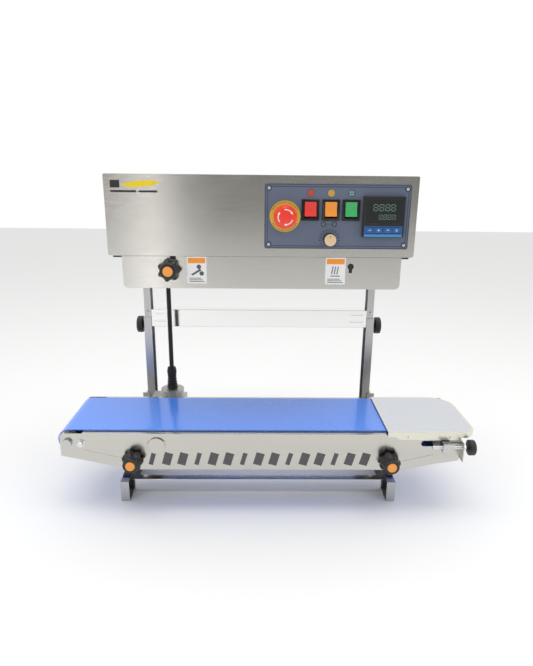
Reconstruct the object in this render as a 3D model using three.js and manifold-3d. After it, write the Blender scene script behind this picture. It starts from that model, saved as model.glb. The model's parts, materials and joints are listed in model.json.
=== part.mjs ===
import * as THREE from "three";
import { mergeVertices } from "three/addons/utils/BufferGeometryUtils.js";
import Module from "manifold-3d";

// Continuous band sealer. Millimetres, +Z up, -Y is the operator's side.
// While it is built, x = 0 lies between the posts, y = 0 is the conveyor's front face and z = 0 the floor.

// ---- driving dimensions ----
const CLEARANCE = 0.3; // between pieces that touch
const RUNNING = 0.5; // round shafts, studs and moving buttons
const SHEET = 1.5; // plates of the conveyor and the head

const BELT_WIDTH = 160;
const BELT_THICKNESS = 2;
const BELT_TOP = 180.5;
const BELT_FRONT = 12.5; // y of the belt's front edge
const ROLLER_RADIUS = 20.2; // nose and tail rollers
const NOSE_X = -378.8;
const TAIL_X = 372;
const DRIVE_X = -203; // drive shaft, gearbox and drive roller
const DRIVE_ROLLER_RADIUS = 14.6;
const AXLE_RADIUS = 5;
const TAIL_TRAVEL = 8;

const PLATE_LEFT = NOSE_X - 14.8;
const PLATE_RIGHT = TAIL_X + 32;
const PLATE_TOP = BELT_TOP - 3.1;
const PLATE_BOTTOM = 98.5;
const PLATE_LIP = 12; // inward top flange
const END_FLANGE = 22; // outward flange at the tail end

const TABLE_LEFT = TAIL_X - 115.5;
const TABLE_RIGHT = TAIL_X + 61;
const TABLE_FRONT = -3.5;
const TABLE_BACK = BELT_FRONT + BELT_WIDTH - 0.5;
const TABLE_TOP = BELT_TOP + 4;
const TABLE_SKIRT = 12;
const TABLE_FRONT_RADIUS = 25;
const TABLE_BACK_RADIUS = 46;

const RAIL_X = 283; // middle of each base rail
const RAIL_WIDTH = 18.4;
const RAIL_HEIGHT = 46;
const RAIL_FRONT = 38;
const RAIL_PAST_POST = 36; // how far the rails go on behind the posts
const RAIL_WALL = 2;

const POST_OUTER = 272.8; // outer face of each lower post
const POST_WIDTH = 18.5;
const POST_DEPTH = 32;
const POST_WALL = 2;
const LOWER_POST_BOTTOM = 56;
const LOWER_POST_TOP = 347;
const UPPER_POST_BOTTOM = 295;
const HEAD_BOTTOM = 521.3; // underside of the mounting plate
const CLAMP_Z = 326;
const HEAD_DOWN = 100; // travel of the head below its place here
const HEAD_UP = 20; // and above it

const HEAD_SIDE_ROOM = 17; // from the shaft gear's pitch circle to the left side of the head
const HEAD_RIGHT = 286;
const HEAD_DEPTH_PAST_POST = 36; // from the front of the posts to the back of the head
const HEAD_TOP = 670;
const PLATE_THICKNESS = 3; // mounting plate
const PANEL_LEFT = 8;
const PANEL_RIGHT = 273;
const PANEL_BOTTOM = 540;
const PANEL_TOP = 656;
const GUARD_BOTTOM = 464;
const GUARD_LEFT = -255.4;
const GUARD_RIGHT = 264.3;

const SEAL_OFFSET = 3; // the bands meet this far behind the middle of the belt
const BAND_THICKNESS = 0.8;
const BAND_BOTTOM = 482;
const BAND_HEIGHT = 16;
const WHEEL_RADIUS = 27.6;
const IDLER_X = 221;
const WHEEL_TEETH = 29;
const PINION_TEETH = 15;
const SHAFT_BEHIND = 27; // drive shaft, behind the rear side plate
const POST_BEHIND = 77; // front of the posts, likewise
const SHAFT_RADIUS = 5;
const GEAR_BOTTOM = 560;
const GEAR_HEIGHT = 8;

const KNOB_RADIUS = 21;
const KNOB_LENGTH = 34;
const STUD_RADIUS = 4;

// ---- places that follow from them ----
const SEAL_Y = BELT_FRONT + BELT_WIDTH / 2 + SEAL_OFFSET;
const REAR_FACE = 2 * BELT_FRONT + BELT_WIDTH; // outer face of the rear side plate
const SHAFT_Y = REAR_FACE + SHAFT_BEHIND;
const POST_FRONT = REAR_FACE + POST_BEHIND;
const RAIL_BACK = POST_FRONT + POST_DEPTH + RAIL_PAST_POST;
const HEAD_BACK = POST_FRONT + HEAD_DEPTH_PAST_POST;
const WHEEL_OFFSET = WHEEL_RADIUS + BAND_THICKNESS + 2 * CLEARANCE; // wheel axes from the sealing plane
const GEAR_MODULE = (2 * WHEEL_OFFSET) / WHEEL_TEETH; // the two drive wheels' gears mesh
const SHAFT_DISTANCE = SHAFT_Y - SEAL_Y - WHEEL_OFFSET; // across the head, from the rear wheel's axis
const SHAFT_TEETH = Math.ceil((2 * 1.015 * SHAFT_DISTANCE) / GEAR_MODULE) - WHEEL_TEETH;
const HEAD_FRONT = SEAL_Y - 2 * WHEEL_OFFSET - GEAR_MODULE - 2.5;
const HEAD_LEFT = DRIVE_X - (SHAFT_TEETH * GEAR_MODULE) / 2 - HEAD_SIDE_ROOM;

// ---- materials ----
const finish = (color, roughness, metalness) =>
  new THREE.MeshStandardMaterial({ color, roughness, metalness });
const casingSteel = finish(0xa9a69f, 0.35, 0.9);
const plateSteel = finish(0xbdbab2, 0.35, 0.9);
const blackPaint = finish(0x26282b, 0.6, 0.2);
const railSteel = finish(0xd8dadd, 0.4, 0.8);
const brightSteel = finish(0xe6e9e8, 0.2, 0.9);
const darkPlastic = finish(0x1b1c1f, 0.5, 0);
const beltBlue = finish(0x5c96ff, 0.35, 0);
const panelBlue = finish(0x626b80, 0.5, 0.1);
const redPlastic = finish(0xfa4832, 0.35, 0);
const yellowPlastic = finish(0xe0b43c, 0.45, 0);
const orangePlastic = finish(0xeb963c, 0.4, 0);
const greenPlastic = finish(0x4baf73, 0.4, 0);
const gearSteel = finish(0x8c8f94, 0.35, 0.9);
const bandTan = finish(0xa58a62, 0.6, 0);
const castAluminium = finish(0xb5b7b9, 0.55, 0.7);
const blackRubber = finish(0x202124, 0.8, 0);

// ---- solids from three.js geometry ----
const wasm = await Module();
wasm.setup();

// A closed geometry as a solid that can be joined and cut.
function solid(geometry) {
  geometry.deleteAttribute("normal");
  geometry.deleteAttribute("uv");
  const merged = mergeVertices(geometry, 1e-4);
  return new wasm.Manifold(
    new wasm.Mesh({
      numProp: 3,
      vertProperties: merged.attributes.position.array,
      triVerts: new Uint32Array(merged.index.array),
    }),
  );
}

// A solid back as a geometry.
function geometryOf(body) {
  const mesh = body.getMesh();
  return new THREE.BufferGeometry()
    .setAttribute("position", new THREE.BufferAttribute(mesh.vertProperties, 3))
    .setIndex(new THREE.BufferAttribute(mesh.triVerts, 1));
}

const X = new THREE.Vector3(1, 0, 0);
const Y = new THREE.Vector3(0, 1, 0);
const Z = new THREE.Vector3(0, 0, 1);
// A flat outline is drawn in (y, z), (x, z) or (x, y) and goes along the third axis.
const ALONG = {
  x: new THREE.Matrix4().makeBasis(Y, Z, X),
  y: new THREE.Matrix4().makeBasis(X, Z, Y.clone().negate()),
  z: new THREE.Matrix4(),
};

function extrude(outline, axis, from, to, curveSegments = 4) {
  const shape = Array.isArray(outline)
    ? new THREE.Shape(outline.map(([u, v]) => new THREE.Vector2(u, v)))
    : outline;
  const geometry = new THREE.ExtrudeGeometry(shape, {
    depth: to - from,
    bevelEnabled: false,
    curveSegments,
  });
  geometry.translate(0, 0, axis === "y" ? -to : from);
  return solid(geometry.applyMatrix4(ALONG[axis]));
}

// A block between two places on each axis, in either order.
function box([x0, x1], [y0, y1], [z0, z1]) {
  const geometry = new THREE.BoxGeometry(Math.abs(x1 - x0), y1 - y0, z1 - z0);
  return solid(geometry.translate((x0 + x1) / 2, (y0 + y1) / 2, (z0 + z1) / 2));
}

// A turned shape: [radius, height] points from the foot of the axis up the outside.
function turned(profile, axis, [x, y, z] = [0, 0, 0], sides = 24) {
  const points = profile.map(([r, h]) => new THREE.Vector2(r, h));
  const geometry = new THREE.LatheGeometry(points, sides);
  if (axis === "z") geometry.rotateX(Math.PI / 2);
  if (axis === "x") geometry.rotateZ(-Math.PI / 2);
  return solid(geometry.translate(x, y, z));
}

// A cylinder about an axis through `at`, between two places measured from there, in either order.
function rod(radius, axis, from, to, at = [0, 0, 0], sides = 20) {
  const low = Math.min(from, to);
  const high = Math.max(from, to);
  return turned([[0, low], [radius, low], [radius, high], [0, high]], axis, at, sides);
}

const joined = (...bodies) => bodies.reduce((a, b) => a.add(b));
const cut = (body, ...tools) => tools.reduce((a, b) => a.subtract(b), body);

// A rectangle with rounded corners, each radius in the order: low-low, high-low, high-high, low-high.
function roundedOutline(u0, u1, v0, v1, [a, b, c, d]) {
  const shape = new THREE.Shape();
  shape.moveTo(u0 + a, v0);
  shape.lineTo(u1 - b, v0);
  if (b) shape.absarc(u1 - b, v0 + b, b, -Math.PI / 2, 0);
  shape.lineTo(u1, v1 - c);
  if (c) shape.absarc(u1 - c, v1 - c, c, 0, Math.PI / 2);
  shape.lineTo(u0 + d, v1);
  if (d) shape.absarc(u0 + d, v1 - d, d, Math.PI / 2, Math.PI);
  shape.lineTo(u0, v0 + a);
  if (a) shape.absarc(u0 + a, v0 + a, a, Math.PI, Math.PI * 1.5);
  return shape;
}

// A slot with round ends, along the outline's first axis.
function stadium(u0, u1, v, r) {
  const shape = new THREE.Shape();
  shape.absarc(u1, v, r, -Math.PI / 2, Math.PI / 2);
  shape.absarc(u0, v, r, Math.PI / 2, Math.PI * 1.5);
  return shape;
}

// Puts a piece in its group as a named mesh; a turn is about the piece's own axis.
function place(group, name, body, material, position = [0, 0, 0], rotation = [0, 0, 0]) {
  const mesh = new THREE.Mesh(geometryOf(body), material);
  mesh.name = name;
  mesh.position.set(...position);
  mesh.rotation.set(...rotation);
  group.add(mesh);
}

const machine = new THREE.Group();
const base = new THREE.Group();
const conveyor = new THREE.Group();
const head = new THREE.Group();
machine.add(base, conveyor, head);

// ---- shared shapes ----
// A star knob about +Z: lobed grip at the foot, front ring, and a cap that stands a little proud.
const KNOB_LOBES = 7;
function starKnob(length) {
  const points = [];
  const steps = KNOB_LOBES * 6;
  for (let i = 0; i < steps; i++) {
    const angle = (i / steps) * 2 * Math.PI;
    const r = KNOB_RADIUS - 2.2 + 2.2 * Math.cos(KNOB_LOBES * angle);
    points.push([r * Math.cos(angle), r * Math.sin(angle)]);
  }
  const collar = 4;
  const grip = length * 0.55;
  return joined(
    extrude(points, "z", collar, grip),
    turned(
      [[0, 0], [KNOB_RADIUS * 0.5, 0], [KNOB_RADIUS * 0.5, grip], [KNOB_RADIUS * 0.8, grip],
        [KNOB_RADIUS * 0.7, length - 2], [0, length - 2]],
      "z",
    ),
    rod(KNOB_RADIUS * 0.43, "z", 0, length),
  );
}

// A spur gear about +Z, with a tooth on its +X side.
const toothPitch = (teeth) => (2 * Math.PI) / teeth;
const pitchRadius = (teeth) => (GEAR_MODULE * teeth) / 2;
function gear(teeth, from, to) {
  const backlash = 0.6;
  const addendum = 0.9 * GEAR_MODULE;
  const dedendum = 1.2 * GEAR_MODULE;
  const flank = Math.tan(THREE.MathUtils.degToRad(20));
  const thickness = (Math.PI * GEAR_MODULE) / 2 - backlash;
  const tip = pitchRadius(teeth) + addendum;
  const root = pitchRadius(teeth) - dedendum;
  const tipHalf = (thickness / 2 - addendum * flank) / tip;
  const rootHalf = (thickness / 2 + dedendum * flank) / root;
  const points = [];
  for (let i = 0; i < teeth; i++) {
    const middle = i * toothPitch(teeth);
    for (const [r, offset] of [[root, -rootHalf], [tip, -tipHalf], [tip, tipHalf], [root, rootHalf]]) {
      points.push([r * Math.cos(middle + offset), r * Math.sin(middle + offset)]);
    }
  }
  return extrude(points, "z", from, to);
}
// How far a gear is turned so that its teeth meet those of its driver, which lies the other way.
function meshedTurn(driverTurn, driverTeeth, direction, teeth) {
  const phase = (direction - driverTurn) / toothPitch(driverTeeth);
  return direction + Math.PI - toothPitch(teeth) * (0.5 - phase);
}

// ---- base ----
const railOuter = RAIL_X + RAIL_WIDTH / 2;
const railInner = RAIL_X - RAIL_WIDTH / 2;
const crossbarEnd = railOuter - RAIL_WALL - CLEARANCE;
const crossbarLow = RAIL_WALL + 8;
const crossbarHigh = RAIL_HEIGHT - RAIL_WALL - 7;
const postHole = [0, POST_FRONT + POST_DEPTH / 2, CLAMP_Z];

// A C-channel rail on the floor, open inwards and closed at its ends, with the bracket that carries the post
// welded on.
function baseSide(side) {
  const bracketWall = 3.6;
  const bracketTop = 157;
  const bracketInner = POST_OUTER + CLEARANCE;
  const frontLegFace = POST_FRONT - CLEARANCE - bracketWall;
  return joined(
    box([side * (railOuter - RAIL_WALL), side * railOuter], [RAIL_FRONT, RAIL_BACK], [0, RAIL_HEIGHT]),
    box([side * railInner, side * railOuter], [RAIL_FRONT, RAIL_BACK], [0, RAIL_WALL]),
    box([side * railInner, side * railOuter], [RAIL_FRONT, RAIL_BACK],
      [RAIL_HEIGHT - RAIL_WALL, RAIL_HEIGHT]),
    box([side * railInner, side * railOuter], [RAIL_FRONT, RAIL_FRONT + RAIL_WALL], [0, RAIL_HEIGHT]),
    box([side * railInner, side * railOuter], [RAIL_BACK - RAIL_WALL, RAIL_BACK], [0, RAIL_HEIGHT]),
    box([side * bracketInner, side * (bracketInner + bracketWall)],
      [frontLegFace, POST_FRONT + POST_DEPTH], [RAIL_HEIGHT - RAIL_WALL, bracketTop]),
    box([side * (POST_OUTER - 6.8), side * (POST_OUTER + 11.2)],
      [frontLegFace, frontLegFace + bracketWall], [RAIL_HEIGHT - RAIL_WALL, bracketTop]),
  );
}

// A crossbar between the rails: a channel that shows its closed side.
function baseCrossbar(closedFace, openEdge) {
  const back = closedFace + Math.sign(openEdge - closedFace) * SHEET;
  const ys = (a, b) => [Math.min(a, b), Math.max(a, b)];
  const xs = [-crossbarEnd, crossbarEnd];
  return joined(
    box(xs, ys(closedFace, back), [crossbarLow, crossbarHigh]),
    box(xs, ys(closedFace, openEdge), [crossbarLow, crossbarLow + SHEET]),
    box(xs, ys(closedFace, openEdge), [crossbarHigh - SHEET, crossbarHigh]),
  );
}

// A post channel, open inwards, with the cut for the clamp stud through its web.
function postChannel(side, outer, inner, [front, back], [low, high], stud) {
  return cut(
    joined(
      box([side * (outer - POST_WALL), side * outer], [front, back], [low, high]),
      box([side * inner, side * outer], [front, front + POST_WALL], [low, high]),
      box([side * inner, side * outer], [back - POST_WALL, back], [low, high]),
    ),
    stud,
  );
}

const postInner = POST_OUTER - POST_WIDTH;
const studHole = STUD_RADIUS + RUNNING;
const nested = POST_WALL + CLEARANCE;
const lowerPost = (side) =>
  postChannel(side, POST_OUTER, postInner, [POST_FRONT, POST_FRONT + POST_DEPTH],
    [LOWER_POST_BOTTOM, LOWER_POST_TOP],
    rod(studHole, "x", side * (POST_OUTER - 10), side * (POST_OUTER + 1), postHole, 16));
const upperPost = (side) =>
  postChannel(side, POST_OUTER - nested, postInner,
    [POST_FRONT + nested, POST_FRONT + POST_DEPTH - nested],
    [UPPER_POST_BOTTOM, HEAD_BOTTOM - CLEARANCE],
    box([side * POST_OUTER, side * (POST_OUTER - 12)],
      [postHole[1] - studHole, postHole[1] + studHole],
      [CLAMP_Z - HEAD_UP - studHole, CLAMP_Z + HEAD_DOWN + studHole]));

// The bright bar between the posts: an open channel with two thin slits at each end.
function upperCrossbar() {
  const end = postInner - CLEARANCE;
  const [low, high] = [CLAMP_Z - 1.5, CLAMP_Z + 40];
  const slitLength = 29;
  const slitMargin = 9;
  const slitHeight = 2;
  const slits = [-1, 1].flatMap((side) =>
    [low + 12.5, low + 30.5].map((z) =>
      box([side * (end - slitMargin), side * (end - slitMargin - slitLength)],
        [POST_FRONT - 1, POST_FRONT + SHEET + 1], [z, z + slitHeight])));
  return cut(
    joined(
      box([-end, end], [POST_FRONT, POST_FRONT + SHEET], [low, high]),
      box([-end, end], [POST_FRONT, POST_FRONT + 28], [low, low + SHEET]),
      box([-end, end], [POST_FRONT, POST_FRONT + 28], [high - SHEET, high]),
    ),
    ...slits,
  );
}

// A clamp knob about X: knurled disc outside the post, with a stud through both posts.
function clampKnob(side) {
  const [radius, thickness, studLength] = [19.7, 17.5, 15];
  const start = CLEARANCE;
  return joined(
    rod(8, "x", side * start, side * (start + 5)),
    rod(radius, "x", side * (start + 3), side * (start + thickness), [0, 0, 0], 32),
    rod(STUD_RADIUS, "x", -side * studLength, side * (start + 3), [0, 0, 0], 16),
  );
}

for (const [side, word] of [[-1, "left"], [1, "right"]]) {
  place(base, `base_side_${word}`, baseSide(side), railSteel);
  place(base, `lower_post_${word}`, lowerPost(side), railSteel);
  place(head, `upper_post_${word}`, upperPost(side), railSteel);
  place(base, `clamp_knob_${word}`, clampKnob(side), darkPlastic,
    [side * POST_OUTER, postHole[1], CLAMP_Z]);
}
place(base, "base_crossbar_front", baseCrossbar(64, 82), brightSteel);
place(base, "base_crossbar_rear", baseCrossbar(RAIL_BACK - 12, RAIL_BACK - 30), brightSteel);
place(base, "upper_crossbar", upperCrossbar(), brightSteel);

// ---- conveyor ----
const beltInner = BELT_TOP - BELT_THICKNESS;
const axleZ = beltInner - CLEARANCE - ROLLER_RADIUS;
const beltRadius = ROLLER_RADIUS + CLEARANCE; // inside of the belt's ends
const beltBack = BELT_FRONT + BELT_WIDTH;
const driveZ = axleZ - beltRadius + CLEARANCE + DRIVE_ROLLER_RADIUS;
const shaftHole = AXLE_RADIUS + RUNNING;
const coverBoss = 12;
const screwY = -11; // tension screw, in front of the front plate
const screwZ = axleZ - 2.5;
const lockKnobs = [["left", -251, 123.6], ["right", 261, 121.7]];

// A side plate: sloping ends, an inward lip along the top and an outward flange at the tail end.
// `outer` is the outside face and `inward` the direction of the belt.
function sidePlate(outer, inward) {
  const span = (a, b) => [Math.min(a, b), Math.max(a, b)];
  const outline = new THREE.Shape();
  const corner = 8;
  outline.moveTo(PLATE_LEFT, PLATE_BOTTOM + 30.5);
  outline.lineTo(PLATE_LEFT + 117.6, PLATE_BOTTOM + 4.9);
  outline.lineTo(PLATE_LEFT + 131.6, PLATE_BOTTOM);
  outline.lineTo(PLATE_RIGHT - 113, PLATE_BOTTOM);
  outline.lineTo(PLATE_RIGHT - 47, PLATE_BOTTOM + 14.3);
  outline.lineTo(PLATE_RIGHT, PLATE_BOTTOM + 22);
  outline.lineTo(PLATE_RIGHT, PLATE_TOP);
  outline.lineTo(PLATE_LEFT + corner, PLATE_TOP);
  outline.absarc(PLATE_LEFT + corner, PLATE_TOP - corner, corner, Math.PI / 2, Math.PI);
  const faces = span(outer, outer + inward * SHEET);
  const through = [faces[0] - 1, faces[1] + 1];
  const hole = (x, z, r) => rod(r, "y", ...through, [x, 0, z], 16);
  const flangeXs = [PLATE_RIGHT - SHEET, PLATE_RIGHT];
  return cut(
    joined(
      extrude(outline, "y", ...faces),
      box([NOSE_X + 28.8, PLATE_RIGHT], span(outer, outer + inward * PLATE_LIP),
        [PLATE_TOP - SHEET, PLATE_TOP]),
      box(flangeXs, span(outer, outer - inward * END_FLANGE), [axleZ - 29, axleZ + 10]),
    ),
    hole(NOSE_X, axleZ, shaftHole),
    hole(DRIVE_X, driveZ, coverBoss + RUNNING),
    ...lockKnobs.map(([, x, z]) => hole(x, z, STUD_RADIUS + RUNNING)),
    extrude(stadium(TAIL_X - 41, TAIL_X + 7, axleZ, 6), "y", ...through),
    rod(STUD_RADIUS + RUNNING, "x", PLATE_RIGHT - 5, PLATE_RIGHT + 5,
      [0, outer + inward * screwY, screwZ], 16),
  );
}

// The belt, a flat loop round both end rollers.
const loop = (r) => stadium(NOSE_X, TAIL_X, axleZ, r);
const belt = cut(
  extrude(loop(beltRadius + BELT_THICKNESS), "y", BELT_FRONT, beltBack, 10),
  extrude(loop(beltRadius), "y", BELT_FRONT - 1, beltBack + 1, 10),
);

// The plate under the belt's top run, on two cross channels between the side plates.
function beltBed() {
  const top = beltInner - CLEARANCE;
  const crossHeight = 15;
  const underLip = PLATE_TOP - SHEET - CLEARANCE;
  const inside = [SHEET + CLEARANCE, REAR_FACE - SHEET - CLEARANCE];
  const cross = (x) => joined(
    box([x, x + 20], inside, [top - crossHeight, underLip]),
    box([x, x + 20], [BELT_FRONT + CLEARANCE, beltBack - CLEARANCE], [top - crossHeight, top]),
  );
  return joined(
    box([NOSE_X + 28.8, TAIL_X - 34], [BELT_FRONT + CLEARANCE, beltBack - CLEARANCE], [top - SHEET, top]),
    cross(NOSE_X + 48.8),
    cross(TAIL_X - 72),
  );
}

// A hollow end roller about Y, as wide as the belt.
const endRoller = () => turned(
  [[shaftHole, 0], [ROLLER_RADIUS, 0], [ROLLER_RADIUS, BELT_WIDTH - 2], [shaftHole, BELT_WIDTH - 2],
    [shaftHole, 0]],
  "y", [0, 0, 0], 32,
);

// The fixed axle of the nose roller, with a round head at the front and a nut behind.
const noseAxle = joined(
  rod(AXLE_RADIUS, "y", -2, REAR_FACE + 4),
  rod(9, "y", -6, -CLEARANCE),
  rod(8, "y", REAR_FACE + CLEARANCE, REAR_FACE + 6, [0, 0, 0], 6),
);

// The tail axle runs in slots; its end blocks are tapped for the tension screws.
function tailAxle() {
  const block = (y0, y1, screw) => cut(
    box([-8.5, 8.5], [y0, y1], [-11, 8]),
    rod(STUD_RADIUS + RUNNING, "x", -10, 10, [0, screw, screwZ - axleZ], 16),
  );
  return joined(
    rod(AXLE_RADIUS, "y", -1, REAR_FACE + 1),
    block(-19, -CLEARANCE, screwY),
    block(REAR_FACE + CLEARANCE, REAR_FACE + 19, REAR_FACE - screwY),
  );
}

// The drive roller under the belt, with its shaft from the bearing cover to the gearbox.
const rollerShaftEnd = SHAFT_Y - 10;
const driveRoller = joined(
  rod(DRIVE_ROLLER_RADIUS, "y", BELT_FRONT + 1, beltBack - 1, [0, 0, 0], 32),
  rod(AXLE_RADIUS, "y", 2, rollerShaftEnd),
);
const bearingCover = turned(
  [[0, -4], [17, -4], [17, -CLEARANCE], [coverBoss, -CLEARANCE], [coverBoss, 11], [shaftHole, 11],
    [shaftHole, 1], [0, 1]],
  "y", [0, 0, 0], 32,
);

// A tension screw about X from its nut on the end flange: threaded rod, nut, and a hand wheel.
function tensionScrew() {
  const wheel = [11, 24];
  return joined(
    rod(STUD_RADIUS, "x", -59, wheel[0] + 1, [0, 0, 0], 16),
    rod(7.5, "x", CLEARANCE, 6, [0, 0, 0], 6),
    rod(15.5, "x", ...wheel, [0, 0, 0], 24),
  );
}

// The sheet-metal extension over the tail end: flat top, folded rim and a deeper apron in front.
function extensionTable() {
  const rim = (inset, z0, z1) => extrude(
    roundedOutline(TABLE_LEFT - 2 * inset, TABLE_RIGHT - inset, TABLE_FRONT + inset, TABLE_BACK - inset,
      [0, TABLE_FRONT_RADIUS - inset, TABLE_BACK_RADIUS - inset, 0]),
    "z", z0, z1);
  const beltRoom = TAIL_X + beltRadius + BELT_THICKNESS + 3;
  const apron = new THREE.Shape();
  const [apronLeft, apronRight] = [TABLE_LEFT + 15.5, PLATE_RIGHT - 6];
  const [apronLow, apronRadius] = [TABLE_TOP - 17, 10];
  apron.moveTo(apronLeft, TABLE_TOP - 2);
  apron.lineTo(apronLeft, apronLow + apronRadius);
  apron.absarc(apronLeft + apronRadius, apronLow + apronRadius, apronRadius, Math.PI, Math.PI * 1.5);
  apron.lineTo(apronRight, apronLow);
  apron.lineTo(apronRight, TABLE_TOP - 2);
  return joined(
    cut(
      rim(0, TABLE_TOP - TABLE_SKIRT, TABLE_TOP),
      rim(SHEET, TABLE_TOP - TABLE_SKIRT - 1, TABLE_TOP - SHEET),
      box([TABLE_LEFT - 5, beltRoom], [TABLE_BACK - 5, TABLE_BACK + 1],
        [TABLE_TOP - TABLE_SKIRT - 1, BELT_TOP + 0.5]),
    ),
    extrude(apron, "y", TABLE_FRONT, TABLE_FRONT + SHEET),
  );
}

// A black bracket on a base rail that carries the side plates at their lock knobs.
function conveyorSupport(side, knobX, knobZ) {
  const wall = 3;
  const foot = RAIL_HEIGHT + CLEARANCE;
  const shelf = axleZ - beltRadius - BELT_THICKNESS - 4.5;
  const web = railInner + 1.2;
  const lipXs = [knobX - 16, knobX + 16];
  const [lipFront, lipBack] = [SHEET + RUNNING, REAR_FACE - SHEET - RUNNING];
  const lip = (y0, y1) => box(lipXs, [y0, y1], [knobZ - 18, shelf]);
  return cut(
    joined(
      box([side * web, side * (railOuter - 1)], [60, 180], [foot, foot + wall]),
      box([side * web, side * (web + wall)], [60, 180], [foot, shelf]),
      box([knobX - side * 16, side * (web + wall)], [lipFront, lipBack], [shelf - wall, shelf]),
      lip(lipFront, lipFront + 2),
      lip(lipBack - 2, lipBack),
    ),
    rod(STUD_RADIUS + RUNNING, "y", 0, REAR_FACE, [knobX, 0, knobZ], 16),
  );
}

// The cast gearbox behind the rear plate: body, top flange and the boss under the drive shaft.
const bossTop = 188;
function gearboxHousing() {
  const near = REAR_FACE + CLEARANCE;
  const bodyTop = 167;
  return cut(
    joined(
      box([-30, 30], [near, SHAFT_Y + 28], [driveZ - 22, bodyTop]),
      box([-46, 18], [SHAFT_Y - 22, SHAFT_Y + 22], [bodyTop - 1, bodyTop + 5]),
      rod(26.5, "z", bodyTop, bossTop, [0, SHAFT_Y, 0], 32),
    ),
    rod(shaftHole, "z", bossTop - 16, bossTop + 1, [0, SHAFT_Y, 0], 16),
    rod(shaftHole, "y", near - 1, rollerShaftEnd + 1, [0, 0, driveZ], 16),
  );
}

place(conveyor, "conveyor_front_plate", sidePlate(0, 1), plateSteel);
place(conveyor, "conveyor_rear_plate", sidePlate(REAR_FACE, -1), plateSteel);
place(conveyor, "conveyor_belt", belt, beltBlue);
place(conveyor, "belt_bed", beltBed(), railSteel);
place(conveyor, "nose_axle", noseAxle, brightSteel, [NOSE_X, 0, axleZ]);
place(conveyor, "nose_roller", endRoller(), gearSteel, [NOSE_X, BELT_FRONT + 1, axleZ]);
place(conveyor, "tail_axle", tailAxle(), gearSteel, [TAIL_X, 0, axleZ]);
place(conveyor, "tail_roller", endRoller(), gearSteel, [TAIL_X, BELT_FRONT + 1, axleZ]);
place(conveyor, "drive_roller", driveRoller, blackRubber, [DRIVE_X, 0, driveZ]);
place(conveyor, "bearing_cover", bearingCover, plateSteel, [DRIVE_X, 0, driveZ]);
place(conveyor, "extension_table", extensionTable(), railSteel);
place(conveyor, "gearbox_housing", gearboxHousing(), castAluminium, [DRIVE_X, 0, 0]);
for (const [word, y] of [["front", screwY], ["rear", REAR_FACE - screwY]]) {
  place(conveyor, `tension_screw_${word}`, tensionScrew(), darkPlastic, [PLATE_RIGHT, y, screwZ]);
}
for (const [word, x, z] of lockKnobs) {
  const knob = joined(starKnob(KNOB_LENGTH), rod(STUD_RADIUS, "z", -8, 1, [0, 0, 0], 16));
  place(conveyor, `conveyor_knob_${word}`, knob, darkPlastic, [x, -CLEARANCE, z], [Math.PI / 2, 0, 0]);
  place(base, `conveyor_support_${word}`, conveyorSupport(Math.sign(x), x, z), blackPaint);
}

// ---- head ----
const frontWheelY = SEAL_Y - WHEEL_OFFSET;
const rearWheelY = SEAL_Y + WHEEL_OFFSET;
const gearReach = pitchRadius(SHAFT_TEETH) + pitchRadius(WHEEL_TEETH);
const wheelX = DRIVE_X - Math.sqrt(gearReach ** 2 - (SHAFT_Y - rearWheelY) ** 2);
const motorX = DRIVE_X + pitchRadius(SHAFT_TEETH) + pitchRadius(PINION_TEETH);
const tubeRadius = SHAFT_RADIUS + RUNNING + 1.5;
const plateTop = HEAD_BOTTOM + PLATE_THICKNESS;
const guardKnob = [-168.9, 499];
const keyhole = [170, 507];
const guardBack = HEAD_FRONT + 1.2;
const inletX = [220, 250];
const inletZ = [545, 570];
const panelBack = HEAD_FRONT - CLEARANCE;
const panelFront = panelBack - SHEET;
const onPanel = panelFront - CLEARANCE;

// The black plate that carries the head; two lugs hang from its front edge for the guard.
function mountingPlate() {
  const lug = (x) => box([x - 10, x + 10], [guardBack + 0.8, guardBack + 2.8], [488, plateTop]);
  const bore = (x, y, r) => rod(r, "z", HEAD_BOTTOM - 1, plateTop + 1, [x, y, 0], 16);
  return cut(
    joined(
      box([HEAD_LEFT + 8, HEAD_RIGHT - 8], [HEAD_FRONT + 3, HEAD_BACK - 2], [HEAD_BOTTOM, plateTop]),
      lug(guardKnob[0]),
      lug(keyhole[0]),
    ),
    bore(DRIVE_X, SHAFT_Y, tubeRadius + RUNNING),
    ...[frontWheelY, rearWheelY].flatMap((y) => [wheelX, IDLER_X].map((x) => bore(x, y, shaftHole))),
    rod(studHole, "y", guardBack, guardBack + 4, [guardKnob[0], 0, guardKnob[1]], 16),
  );
}

// The painted casing: front, top and sides in one folded sheet, open below and behind.
function headCasing() {
  const bottom = plateTop + CLEARANCE;
  return cut(
    extrude(roundedOutline(HEAD_LEFT, HEAD_RIGHT, bottom, HEAD_TOP, [5, 5, 3, 3]),
      "y", HEAD_FRONT, HEAD_BACK),
    box([HEAD_LEFT + SHEET, HEAD_RIGHT - SHEET], [HEAD_FRONT + SHEET, HEAD_BACK + 1],
      [bottom - 1, HEAD_TOP - SHEET]),
    box([PANEL_LEFT + 8, PANEL_RIGHT - 8], [HEAD_FRONT - 1, HEAD_FRONT + SHEET + 1],
      [PANEL_BOTTOM + 8, PANEL_TOP - 8]),
  );
}

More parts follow.
